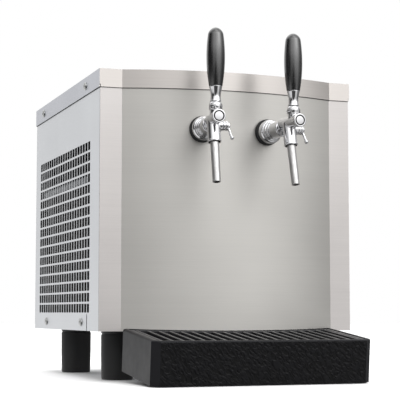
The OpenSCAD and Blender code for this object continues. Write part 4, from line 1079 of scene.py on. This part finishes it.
def drip_tray():
    """The sloping tray: leather grain on its front, satin sides and corner facets, and a rounded lip."""
    bm = cad_copy("drip_tray")
    flat = TRAY_PLACE.inverted()
    turn = flat.to_3x3()
    size = details()

    def outer_rim(edge):
        """Whether an edge lies on the outer side of the rim."""
        walls = [f for f in edge.link_faces if abs((turn @ f.normal).z) < FACING]
        middle = flat @ ((edge.verts[0].co + edge.verts[1].co) / 2)
        out = middle.xy + Vector((0, TRAY_MIDDLE * MM))
        on_rim = all((flat @ v.co).z > -RIM_SLACK * MM for v in edge.verts)
        return on_rim and any((turn @ f.normal).xy.dot(out) > 0 for f in walls)

    soften(bm, size.lip_radius, 5, outer_rim)
    soften(bm, size.mould_radius, 2, angle=EDGE_ANGLE)
    made = show("drip_tray_shell", bm, [finish(tray_satin), finish(leather_grain)])
    for face in made.data.polygons:
        in_front = (flat @ face.center).y < -(TRAY_DEPTH - GRAIN_SLACK) * MM
        face.material_index = int(in_front and (turn @ face.normal).y < -GRAIN_FACING)
    flat_normals(made)
    return belongs(made, "tray_plastic", "tray", "drip_tray")


def slat_shape():
    """One slat of unit length along Y, its top at the origin, with rounded upper edges."""
    half, deep, r = SLAT_WIDTH / 2 * MM, GRATE_THICK * MM, SLAT_ROUND * MM
    right = [(half - r, 0), (half - 0.3 * r, -0.3 * r), (half, -r), (half, -deep)]
    section = [(-x, z) for x, z in reversed(right)] + right
    bm = bmesh.new()
    loft(bm, [[bm.verts.new((x, y, z)) for x, z in section] for y in (0, 1)])
    return solid("slat", bm)


def drip_grate():
    """The loose grate: a border that follows the tray and a row of slats."""
    bm = bmesh.new()
    rings = []
    for inset in (GRATE_EDGE, GRATE_EDGE + GRATE_BORDER):
        outline = tray_outline(inset)
        for z in (GRATE_TOP - GRATE_THICK, GRATE_TOP):
            rings.append([bm.verts.new(Vector((x, y, z)) * MM) for x, y in outline])
    low_out, top_out, low_in, top_in = rings
    for near, far in ((low_out, top_out), (top_out, top_in), (top_in, low_in), (low_in, low_out)):
        band(bm, near, far)
    bmesh.ops.recalc_face_normals(bm, faces=bm.faces)
    soften(bm, details().mould_radius, 3, angle=math.radians(60))
    made = show("drip_grate_slats", bm, [finish(grate_satin)])
    slat = slat_shape()
    inner = 2 * (TRAY_HALF - GRATE_EDGE - GRATE_BORDER)
    sunk = GRATE_BORDER / 2
    grow(made, slat_tree(), {
        "Count": SLAT_COUNT, "Pitch": inner / (SLAT_COUNT - 0.5) * MM,
        "Front": (-TRAY_DEPTH + GRATE_EDGE + sunk) * MM, "Top": (GRATE_TOP - SLAT_SINK) * MM,
        "Bow Radius": BOW_RADIUS + (TRAY_GAP + GRATE_EDGE + sunk) * MM, "Bow Centre": BOW_Y - STRIP_Y,
        "Slat": slat, "Material": finish(grate_satin)})
    bpy.data.objects.remove(slat)
    made.data.transform(TRAY_PLACE)
    flat_normals(made)
    return belongs(made, "grate_plastic", "grate", "drip_grate")


# Taps, in the frame of their wall: X to the side, -Y out of the wall, Z up, in millimetres.
# A name that ends in U is a distance out of the wall, in Z a height and in R a radius.

HANDLE_U = 84.0
PIVOT_Z = 22.0
NOSE_Z = 5.5
ROSETTE_U = 6.0
BARREL_U = 28.0
STEP_U = 52.0
REACH_U = 104.0
CAP_THICK = 6.0
CAP_R = 10.1
GROOVE_R = (6.25, 7.9)
GROOVE_DEEP = 1.5
BARREL_R = 12.5
NOSE_R = 9.0
NOSE_SUNK = 3.0
NECK_R = 8.5
NOZZLE_U = 69.0
NOZZLE_R = 10.0
NOZZLE_LIP = 0.4
NOZZLE_DROP = 29.5
SOCKET_R = 8.5
SOCKET_DEEP = 5.0
SPOUT_LEAN = math.radians(12)
SPOUT_LONG = 61.0
SPOUT_BORE_R = 4.7
SPOUT_TIP_R = 6.0
SPOUT_R = 6.4
SPOUT_FLANGE_R = 8.4
SPOUT_FLANGE_TOP = 7.9
COLLAR_Z = 17.0
COLLAR_SIDES = 10
COLLAR_R = 10.3
FERRULE_Z = 29.4
FERRULE_HOLLOW_R = 10.6
STEM_BORE_R = 3.05
GRIP_Z = 51.9
GRIP_LONG = 87.0
GRIP_MIDDLE_R = 13.6
GRIP_END_R = 9.9
GRIP_SHOULDER = 0.875
FLOW_Z = -4.0
FLOW_U = NOZZLE_U + (NOSE_Z - FLOW_Z) * math.tan(SPOUT_LEAN)
FLOW_HUB_LONG = 8.0
FLOW_TIP = Vector((5.4, -4.5, -18))
FLOW_BALL_R = 3.0
NOZZLE_LONG = (NOZZLE_DROP + NOSE_Z) / math.cos(SPOUT_LEAN)
BOSS_R = 8.0
BOSS_END = 13.0
SIDEWAYS = Matrix.Rotation(math.pi / 2, 4, "Y")

# Corners of the ridged gasket and of the three-stepped rosette: radius, distance out of the wall, rounding
GASKET = (
    (0, 0.05), (20.25, 0.05, 0.3), (20.25, 2.4, 0.7), (19.5, 2.9, 0.2), (19.5, 3.3, 0.2), (20, 3.8, 0.5),
    (20, ROSETTE_U, 1.0), (0, ROSETTE_U))
ROSETTE = (
    (0, ROSETTE_U), (18.5, ROSETTE_U, 0.4), (18.5, 15.6, 2.4), (16.4, 17.9, 0.6), (15.6, 18, 0.2),
    (15.5, 22.2, 1.2), (14.4, 22.9, 0.3), (13.9, 23, 0.2), (13.75, 27.2, 1.0), (12.9, BARREL_U, 0.3),
    (0, BARREL_U))


def wall_place(side):
    """Place of a tap's wall frame."""
    swing = JOINTS[f"{side}_handle_swing"]
    across = Vector(swing["axis"]).normalized()
    back = UP.cross(across)
    wall = Vector(swing["pos_m"]) + back * HANDLE_U * MM - UP * PIVOT_Z * MM
    turn = Matrix((across, back, UP)).transposed().to_4x4()
    return Matrix.Translation(wall) @ turn


def outward(side, u, z=0.0):
    """Place whose Z axis points out of the wall."""
    shift = Matrix.Translation(Vector((0, -u, z)) * MM)
    return wall_place(side) @ shift @ Matrix.Rotation(math.pi / 2, 4, "X")


def upright(side, u, z=0.0):
    """Place whose Z axis points up."""
    return wall_place(side) @ Matrix.Translation(Vector((0, -u, z)) * MM)


def along_nozzle(side, up=0.0):
    """Place on the leaning axis of the nozzle, at a height above the nozzle's lower end."""
    return (upright(side, NOZZLE_U, NOSE_Z) @ Matrix.Rotation(-SPOUT_LEAN, 4, "X")
            @ Matrix.Translation((0, 0, (up - NOZZLE_LONG) * MM)))


def turned(name, corners, place, build, slot, node, closed=False):
    """A turned piece that stands for a CAD node."""
    bm = bmesh.new()
    lathe(bm, rounded(corners), place, 72, closed)
    made = solid(name, bm, [finish(build)])
    return belongs(made, slot, body_of(node), node)


def shade_hollows(made, place, chosen):
    """Gives the hollow faces of a tap piece, chosen by radius and height, their unplated metal, darkened as
    painted shade.
    """
    made.data.materials.append(finish(hollow_shade_brass))
    back = place.inverted()
    for face in made.data.polygons:
        spot = back @ face.center / MM
        if chosen(spot.xy.length, spot.z):
            face.material_index = 1


def tap_mount(side):
    """Ridged rubber gasket and long stepped chrome rosette on the wall."""
    wall = outward(side, 0)
    turned(f"{side}_gasket_ring", GASKET, wall, rubber, "black_rubber", f"{side}_wall_gasket")
    turned(f"{side}_rosette_turned", ROSETTE, wall, polished_chrome, "tap_chrome", f"{side}_rosette")


def tap_casting(side):
    """Tap body: barrel, nose, nozzle, neck and boss run into one casting with soft fillets."""
    bm = bmesh.new()
    barrel = STEP_U - BARREL_U
    lathe(bm, rounded([(0, 0), (BARREL_R, 0, 0.8), (BARREL_R, barrel, 2.2), (0, barrel)]),
          outward(side, BARREL_U))
    nose = REACH_U - CAP_THICK - STEP_U + NOSE_SUNK
    lathe(bm, rounded([(0, 0), (NOSE_R, 0, 0.4), (NOSE_R, nose, 0.3), (0, nose)]),
          outward(side, STEP_U - NOSE_SUNK, NOSE_Z))
    lip = NOZZLE_R + NOZZLE_LIP
    lathe(bm, rounded([
        (0, SOCKET_DEEP), (SOCKET_R, SOCKET_DEEP), (SOCKET_R, 0), (lip, 0, 0.5), (lip, 2.2, 0.6),
        (NOZZLE_R, 2.9, 0.6), (NOZZLE_R, NOZZLE_LONG), (0, NOZZLE_LONG)]), along_nozzle(side))
    neck = COLLAR_Z - NOSE_Z
    lathe(bm, [(0, 0), (NECK_R, 0), (NECK_R, neck), (0, neck)], upright(side, HANDLE_U, NOSE_Z))
    lathe(bm, rounded([(0, 0), (BOSS_R, 0), (BOSS_R, BOSS_END, 0.6), (0, BOSS_END)]),
          upright(side, FLOW_U, FLOW_Z) @ SIDEWAYS)
    made = solid(f"{side}_tap_casting", bm, [finish(polished_chrome)])
    step = made.modifiers.new("Cast", "REMESH")
    step.mode = "VOXEL"
    step.voxel_size = details().cast_voxel
    step.use_smooth_shade = True
    ease = made.modifiers.new("Fillets", "SMOOTH")
    ease.factor = 0.5
    ease.iterations = 8
    settle(made)
    made.data.shade_smooth()
    # Painted shade in the nozzle's socket round the spout
    shade_hollows(made, along_nozzle(side), lambda r, h: r < SOCKET_R + 0.4 and h < SOCKET_DEEP + 1)
    return belongs(made, "tap_chrome", "cabinet", f"{side}_tap_body")


def tap_front(side):
    """Front cap with its ring groove, and the leaning spout."""
    low, high = GROOVE_R
    bottom = CAP_THICK - GROOVE_DEEP
    face = outward(side, REACH_U - CAP_THICK, NOSE_Z)
    cap = turned(f"{side}_cap_turned", [
        (0, 0), (CAP_R, 0, 0.3), (CAP_R, CAP_THICK, 1.2), (high, CAP_THICK, 0.3), (high - 0.1, bottom, 0.2),
        (low + 0.1, bottom, 0.2), (low, CAP_THICK, 0.4), (0, CAP_THICK)],
        face, polished_chrome, "tap_chrome", f"{side}_front_cap")
    # Painted shade in the cap's ring groove
    shade_hollows(cap, face, lambda r, h: low < r < high and h < CAP_THICK - 0.4)
    turned(f"{side}_spout_tube", [
        (SPOUT_BORE_R, -SPOUT_LONG, 0.5), (SPOUT_TIP_R, -SPOUT_LONG, 0.6), (SPOUT_R, 0),
        (SPOUT_R, SOCKET_DEEP), (SPOUT_FLANGE_R, SOCKET_DEEP + 0.1), (SPOUT_FLANGE_R, SPOUT_FLANGE_TOP),
        (SPOUT_BORE_R, SPOUT_FLANGE_TOP)],
        along_nozzle(side), spout_stainless, "tap_chrome", f"{side}_spout", closed=True)


def collar(side):
    """Collar nut with chamfered corners, so that its lower edge is scalloped."""
    node = f"{side}_collar_nut"
    made = show(f"{side}_collar_turned", cad_copy(node), [finish(polished_chrome)])
    flat = COLLAR_R * math.cos(math.pi / COLLAR_SIDES)
    wide = COLLAR_R + 0.6
    bm = bmesh.new()
    # The chamfers run from the flats to past the corners, and the plain ring above them stays whole
    lathe(bm, [(0, -1), (flat - 1.6, -1), (flat - 0.5, 0), (wide, 1.9), (wide, 5.3), (flat - 0.1, 6.6),
               (flat + 0.6, 6.7), (flat + 0.6, 20), (0, 20)], upright(side, HANDLE_U, COLLAR_Z), 80)
    boolean(made, solid("chamfer", bm), "INTERSECT")
    made.data.shade_smooth()
    made.data.set_sharp_from_angle(angle=math.radians(24))
    return belongs(made, "tap_chrome", "cabinet", node)


def ferrule_profile(steps=8):
    """Corners of the ferrule: a round hollow over the ball of the lever, and a waist."""
    inner = math.sqrt(FERRULE_HOLLOW_R ** 2 - (FERRULE_Z - PIVOT_Z) ** 2)
    base = inner + 1
    first, last = (math.asin(r / FERRULE_HOLLOW_R) for r in (STEM_BORE_R, inner))
    hollow = []
    for k in range(steps + 1):
        angle = first + (last - first) * k / steps
        hollow.append((FERRULE_HOLLOW_R * math.sin(angle), PIVOT_Z + FERRULE_HOLLOW_R * math.cos(angle)))
    outer = [(base, FERRULE_Z, 0.4), (base - 0.9, FERRULE_Z + 3, 3), (7.2, FERRULE_Z + 7.5, 6),
             (7.5, FERRULE_Z + 11.3, 4), (8.7, GRIP_Z - 4.5, 3), (9.6, GRIP_Z - 1.2, 0.8), (9.6, GRIP_Z, 0.2),
             (0, GRIP_Z)]
    return [(0, hollow[0][1])] + hollow + outer


def swell(t):
    """Radius of the grip at a share of its length."""
    return GRIP_MIDDLE_R - (GRIP_MIDDLE_R - GRIP_END_R) * (2 * t - 1) ** 2


def grip_profile(steps=40, dome=12):
    """Corners of the grip: a long swell up to its shoulder, closed by a smooth dome."""
    profile = [(0, GRIP_Z)]
    for k in range(steps + 1):
        t = GRIP_SHOULDER * k / steps
        profile.append((swell(t), GRIP_Z + t * GRIP_LONG))
    for k in range(1, dome + 1):
        share = math.sin(k / dome * math.pi / 2)
        t = GRIP_SHOULDER + (1 - GRIP_SHOULDER) * share
        profile.append((swell(t) * math.sqrt(max(0, 1 - share * share)), GRIP_Z + t * GRIP_LONG))
    return profile


def handle(side):
    """Ferrule and black grip on the lever stem."""
    axis = upright(side, HANDLE_U)
    turned(f"{side}_ferrule_turned", ferrule_profile(), axis, polished_chrome, "tap_chrome",
           f"{side}_ferrule")
    turned(f"{side}_grip_turned", grip_profile(), axis, phenolic, "grip_plastic", f"{side}_handle_grip")


def flow_lever(side):
    """Flow lever on the side of the body: grooved hub, nut, bent rod and ball."""
    node = f"{side}_flow_lever"
    bm = bmesh.new()
    middle = upright(side, FLOW_U, FLOW_Z)
    near = BOSS_END + 0.3
    far = near + FLOW_HUB_LONG
    hub = BOSS_R - 0.5
    lathe(bm, rounded([
        (0, 3), (3, 3), (3, near), (hub, near, 0.6), (hub, near + 2.6, 0.5), (hub - 1, near + 3.4, 0.3),
        (hub - 1, near + 4.2, 0.3), (hub, near + 5, 0.5), (hub, far, 1.2), (5, far + 0.1, 0.3),
        (5, far + 3, 1.4), (0, far + 3)]), middle @ SIDEWAYS, 48)
    root = middle @ Matrix.Translation(Vector((far, 0, 0)) * MM)
    aim = FLOW_TIP.to_track_quat("Z", "Y").to_matrix().to_4x4()
    reach = FLOW_TIP.length
    ball = [(FLOW_BALL_R * math.sin(a), reach - FLOW_BALL_R * math.cos(a))
            for a in (math.radians(46 + 14 * k) for k in range(9))]
    rod = [(0, 0), (2, 0), (1.9, reach * 0.5), (2.1, reach - 2.2)]
    lathe(bm, rod + ball + [(0, reach + FLOW_BALL_R)], root @ aim, 32)
    made = solid(f"{side}_flow_lever_turned", bm, [finish(polished_chrome)])
    return belongs(made, "tap_chrome", body_of(node), node)


# Rear fittings


def rear_fittings():
    """Thermostat knob, switch, mains inlet and beer inlets on the back."""
    size = details()
    softened("knob_moulded", "thermostat_knob", fitting_plastic, "black_plastic", size.mould_radius,
             angle=EDGE_ANGLE)
    for name, node, build, slot, angle in (
            ("switch_frame", "switch_housing", fitting_plastic, "black_plastic", EDGE_ANGLE),
            ("switch_key", "switch_rocker", rocker_plastic, "red_plastic", SOFT_ANGLE),
            ("mains_inlet", "power_inlet", fitting_plastic, "black_plastic", EDGE_ANGLE),
            ("left_inlet_fitting", "left_beer_inlet", turned_steel, "tube_steel", EDGE_ANGLE),
            ("right_inlet_fitting", "right_beer_inlet", turned_steel, "tube_steel", EDGE_ANGLE)):
        softened(name, node, build, slot, size.cut_radius, 2, angle)


# Operators


class DISPENSER_OT_cabinet(bpy.types.Operator):
    """Builds the folded sheets of the cabinet"""
    bl_idname = "dispenser.cabinet"
    bl_label = "Cabinet sheets"

    def execute(self, context):
        front_skin()
        lid_shell()
        for side in SIDES:
            side_sheet(side)
        sheets = (("rear_sheet", "rear_panel", Vector((0, -1, 0))), ("base_sheet", "base_pan", UP))
        for name, node, inward in sheets:
            made = softened(name, node, side_stainless, "sheet_steel", details().cut_radius, 2, EDGE_ANGLE)
            # Painted shade on the faces that look into the cabinet
            shade_inside(made, inward)
        return {"FINISHED"}


class DISPENSER_OT_screws(bpy.types.Operator):
    """Builds the screw heads"""
    bl_idname = "dispenser.screws"
    bl_label = "Screws"

    def execute(self, context):
        sheet_screws()
        paint(screw_steel, "base_screws")
        return {"FINISHED"}


class DISPENSER_OT_feet(bpy.types.Operator):
    """Builds the rubber feet"""
    bl_idname = "dispenser.feet"
    bl_label = "Feet"

    def execute(self, context):
        rubber_feet()
        return {"FINISHED"}


class DISPENSER_OT_cooling(bpy.types.Operator):
    """Builds the condenser and finishes the cooling unit"""
    bl_idname = "dispenser.cooling"
    bl_label = "Cooling unit"

    def execute(self, context):
        condenser()
        paint(galvanised, "fan_shroud")
        paint(enamel, "fan_motor", "compressor")
        paint(fitting_plastic, "fan_blades", "thermostat_body")
        paint(rubber, "compressor_grommets")
        paint(copper, "refrigerant_lines", "filter_drier")
        paint(insulation, "foam_housing", "foam_lid")
        paint(cast_aluminium, "cold_block")
        paint(turned_steel, "beer_inlet_lines", "beer_outlet_lines")
        return {"FINISHED"}


class DISPENSER_OT_fittings(bpy.types.Operator):
    """Builds the fittings on the back"""
    bl_idname = "dispenser.fittings"
    bl_label = "Rear fittings"

    def execute(self, context):
        rear_fittings()
        return {"FINISHED"}


class DISPENSER_OT_tray(bpy.types.Operator):
    """Builds the drip tray, its grate and its arms"""
    bl_idname = "dispenser.tray"
    bl_label = "Drip tray"

    def execute(self, context):
        drip_tray()
        drip_grate()
        softened("tray_arm_bars", "tray_arms", enamel, "dark_paint", details().cut_radius, 2, SOFT_ANGLE)
        return {"FINISHED"}


class DISPENSER_OT_taps(bpy.types.Operator):
    """Builds the taps on the front"""
    bl_idname = "dispenser.taps"
    bl_label = "Taps"

    def execute(self, context):
        for side in SIDES:
            tap_mount(side)
            tap_casting(side)
            tap_front(side)
            collar(side)
            flow_lever(side)
            paint(turned_steel, f"{side}_shank", f"{side}_shank_nut")
            paint(brass, f"{side}_valve_plunger")
        return {"FINISHED"}


class DISPENSER_OT_handles(bpy.types.Operator):
    """Builds the tap handles"""
    bl_idname = "dispenser.handles"
    bl_label = "Tap handles"

    def execute(self, context):
        for side in SIDES:
            handle(side)
            paint(polished_chrome, f"{side}_lever_stem")
        return {"FINISHED"}


# Stage

CAMERA_PLACE = (-0.70085, -1.998178, 0.104281)
CAMERA_YAW = 19.55
CAMERA_PITCH = 5.012
CAMERA_LENS = 115.0
CAMERA_FAR = 100.0
FLOOR_RADIUS = 9.0

# Softboxes: name, place, aim, width, height, watts, and whether the steel and chrome mirror it
SOFTBOXES = (
    ("Key", (1.25, -2.75, 2.2), (0, 0, 0.3), 1.6, 1.4, 6, True),
    ("Back", (-1.2, 2.8, 2.0), (0, 0, 0.25), 2.4, 1.2, 25, False),
    ("Top", (0, 0, 3.6), (0, 0, 0), 3.2, 3.2, 90, False),
)

# The room that the steel and chrome mirror. A patch of light is a product of soft steps, and a step names
# what it follows, where it starts and ends, and the light before and after it. "way" is the direction round
# the part in degrees, 0 ahead of the front and negative to its left, and "height" is its upward share.
CAMERA_SHADE = "camera shade"
ROOM = {
    CAMERA_SHADE: (
        ("way", -36, -28, 0.0, 1.0), ("way", -12, -2, 1.0, 0.0), ("height", 0.06, 0.15, 1.0, 0.0)),
    "front wall": (
        ("way", -66, -42, 0.1, 1.0), ("way", -26, 8, 0.48, 1.0), ("way", 30, 74, 1.0, 0.2),
        (CAMERA_SHADE, 0.0, 1.0, 1.0, 0.03), ("height", -0.2, 0.25, 0.0, 1.38)),
    "ground right": (
        ("way", 10, 24, 0.06, 0.75), ("way", 34, 66, 1.0, 0.3), ("height", -0.2, 0.06, 1.0, 0.0)),
    "ground left": (("way", -62, -46, 0.8, 0.0), ("height", -0.2, 0.06, 1.0, 0.0)),
    "rear left": (("way", -146, -118, 0.93, 0.0), ("height", -0.3, 0.1, 0.4, 1.0)),
    "rear right": (("way", 105, 150, 0.0, 0.5), ("height", -0.3, 0.1, 0.4, 1.0)),
    "light bank": (
        ("way", -92, -66, 0.0, 1.0), ("way", -66, 5, 0.6, 1.0), ("way", 50, 86, 1.0, 0.2),
        ("height", 0.2, 0.34, 0.0, 1.0), ("height", 0.58, 0.78, 1.0, 0.0)),
    "ceiling": (("height", 0.4, 0.8, 0.0, 0.75),),
}


def studio_world():
    """White to the eye; to the steel and chrome, a room with a bright front wall and bank and dark sides."""
    world = bpy.data.worlds.new("Studio")
    world.use_nodes = True
    tree = world.node_tree
    tree.nodes.clear()
    ways = add(tree, "ShaderNodeTexCoord")
    parts = add(tree, "ShaderNodeSeparateXYZ", {0: ways.outputs["Generated"]})
    front = add(tree, "ShaderNodeMath", {0: parts.outputs["Y"], 1: -1.0}, operation="MULTIPLY")
    turn = add(tree, "ShaderNodeMath", {0: parts.outputs["X"], 1: front.outputs[0]}, operation="ARCTAN2")
    way = add(tree, "ShaderNodeMath", {0: turn.outputs[0]}, operation="DEGREES")
    follows = {"way": way.outputs[0], "height": parts.outputs["Z"]}
    light = 0.0
    for patch, steps in ROOM.items():
        share = 1.0
        for source, begin, end, before, after in steps:
            step = add(tree, "ShaderNodeMapRange", {
                "Value": follows[source], "From Min": begin, "From Max": end,
                "To Min": before, "To Max": after}, interpolation_type="SMOOTHSTEP")
            share = add(tree, "ShaderNodeMath", {
                0: step.outputs["Result"], 1: share}, operation="MULTIPLY").outputs[0]
        follows[patch] = share
        if patch != CAMERA_SHADE:
            light = add(tree, "ShaderNodeMath", {0: share, 1: light}, operation="ADD").outputs[0]
    lit = add(tree, "ShaderNodeBackground", {"Color": light, "Strength": 1.0})
    white = add(tree, "ShaderNodeBackground", {"Color": (1, 1, 1, 1), "Strength": 1.0})
    path = add(tree, "ShaderNodeLightPath")
    seen = add(tree, "ShaderNodeMixShader", {
        0: path.outputs["Is Camera Ray"], 1: lit.outputs[0], 2: white.outputs[0]})
    add(tree, "ShaderNodeOutputWorld", {"Surface": seen.outputs[0]})
    bpy.context.scene.world = world


def softbox(name, place, aim, wide, tall, power, mirrored):
    """A soft rectangular light."""
    light = bpy.data.lights.new(name, "AREA")
    light.shape = "RECTANGLE"
    light.size = wide
    light.size_y = tall
    light.energy = power
    made = bpy.data.objects.new(name, light)
    made.location = place
    made.rotation_euler = (Vector(aim) - Vector(place)).to_track_quat("-Z", "Y").to_euler()
    made.visible_glossy = mirrored
    bpy.context.scene.collection.objects.link(made)


def studio_floor():
    """A wide pale floor, which the steel doesn't mirror."""
    bm = bmesh.new()
    bmesh.ops.create_circle(bm, cap_ends=True, radius=FLOOR_RADIUS, segments=96)
    floor = show("floor", bm, [finish(pale_floor)])
    floor.visible_glossy = False


def studio_camera():
    """The camera, where the photograph's view was solved."""
    camera = bpy.data.objects.new("Camera", bpy.data.cameras.new("Camera"))
    camera.data.lens = CAMERA_LENS
    camera.data.clip_end = CAMERA_FAR
    camera.location = CAMERA_PLACE
    camera.rotation_euler = (math.radians(90 + CAMERA_PITCH), 0, math.radians(-CAMERA_YAW))
    bpy.context.scene.collection.objects.link(camera)
    bpy.context.scene.camera = camera


class DISPENSER_OT_stage(bpy.types.Operator):
    """Builds the floor, the lights and the camera"""
    bl_idname = "dispenser.stage"
    bl_label = "Stage"

    def execute(self, context):
        studio_camera()
        studio_floor()
        studio_world()
        for box in SOFTBOXES:
            softbox(*box)
        context.scene.view_settings.view_transform = "Standard"
        return {"FINISHED"}


class DISPENSER_PT_panel(bpy.types.Panel):
    """Steps of the dispenser, with its sizes and colours"""
    bl_label = "Draft beer dispenser"
    bl_idname = "DISPENSER_PT_panel"
    bl_space_type = "VIEW_3D"
    bl_region_type = "UI"
    bl_category = "Dispenser"

    def draw(self, context):
        for step in STEPS:
            self.layout.operator(step.bl_idname)
        for group in (context.scene.dispenser_finishes, context.scene.dispenser_details):
            for name in group.__annotations__:
                self.layout.prop(group, name)


STEPS = (
    DISPENSER_OT_cabinet, DISPENSER_OT_screws, DISPENSER_OT_feet, DISPENSER_OT_cooling, DISPENSER_OT_fittings,
    DISPENSER_OT_tray, DISPENSER_OT_taps, DISPENSER_OT_handles, DISPENSER_OT_stage)
CLASSES = (DispenserFinishes, DispenserDetails) + STEPS + (DISPENSER_PT_panel,)


def register():
    for each in CLASSES:
        bpy.utils.register_class(each)
    bpy.types.Scene.dispenser_finishes = bpy.props.PointerProperty(type=DispenserFinishes)
    bpy.types.Scene.dispenser_details = bpy.props.PointerProperty(type=DispenserDetails)


def unregister():
    del bpy.types.Scene.dispenser_finishes
    del bpy.types.Scene.dispenser_details
    for each in reversed(CLASSES):
        bpy.utils.unregister_class(each)


def main():
    register()
    for step in STEPS:
        group, name = step.bl_idname.split(".")
        getattr(getattr(bpy.ops, group), name)()


if __name__ == "__main__":
    main()
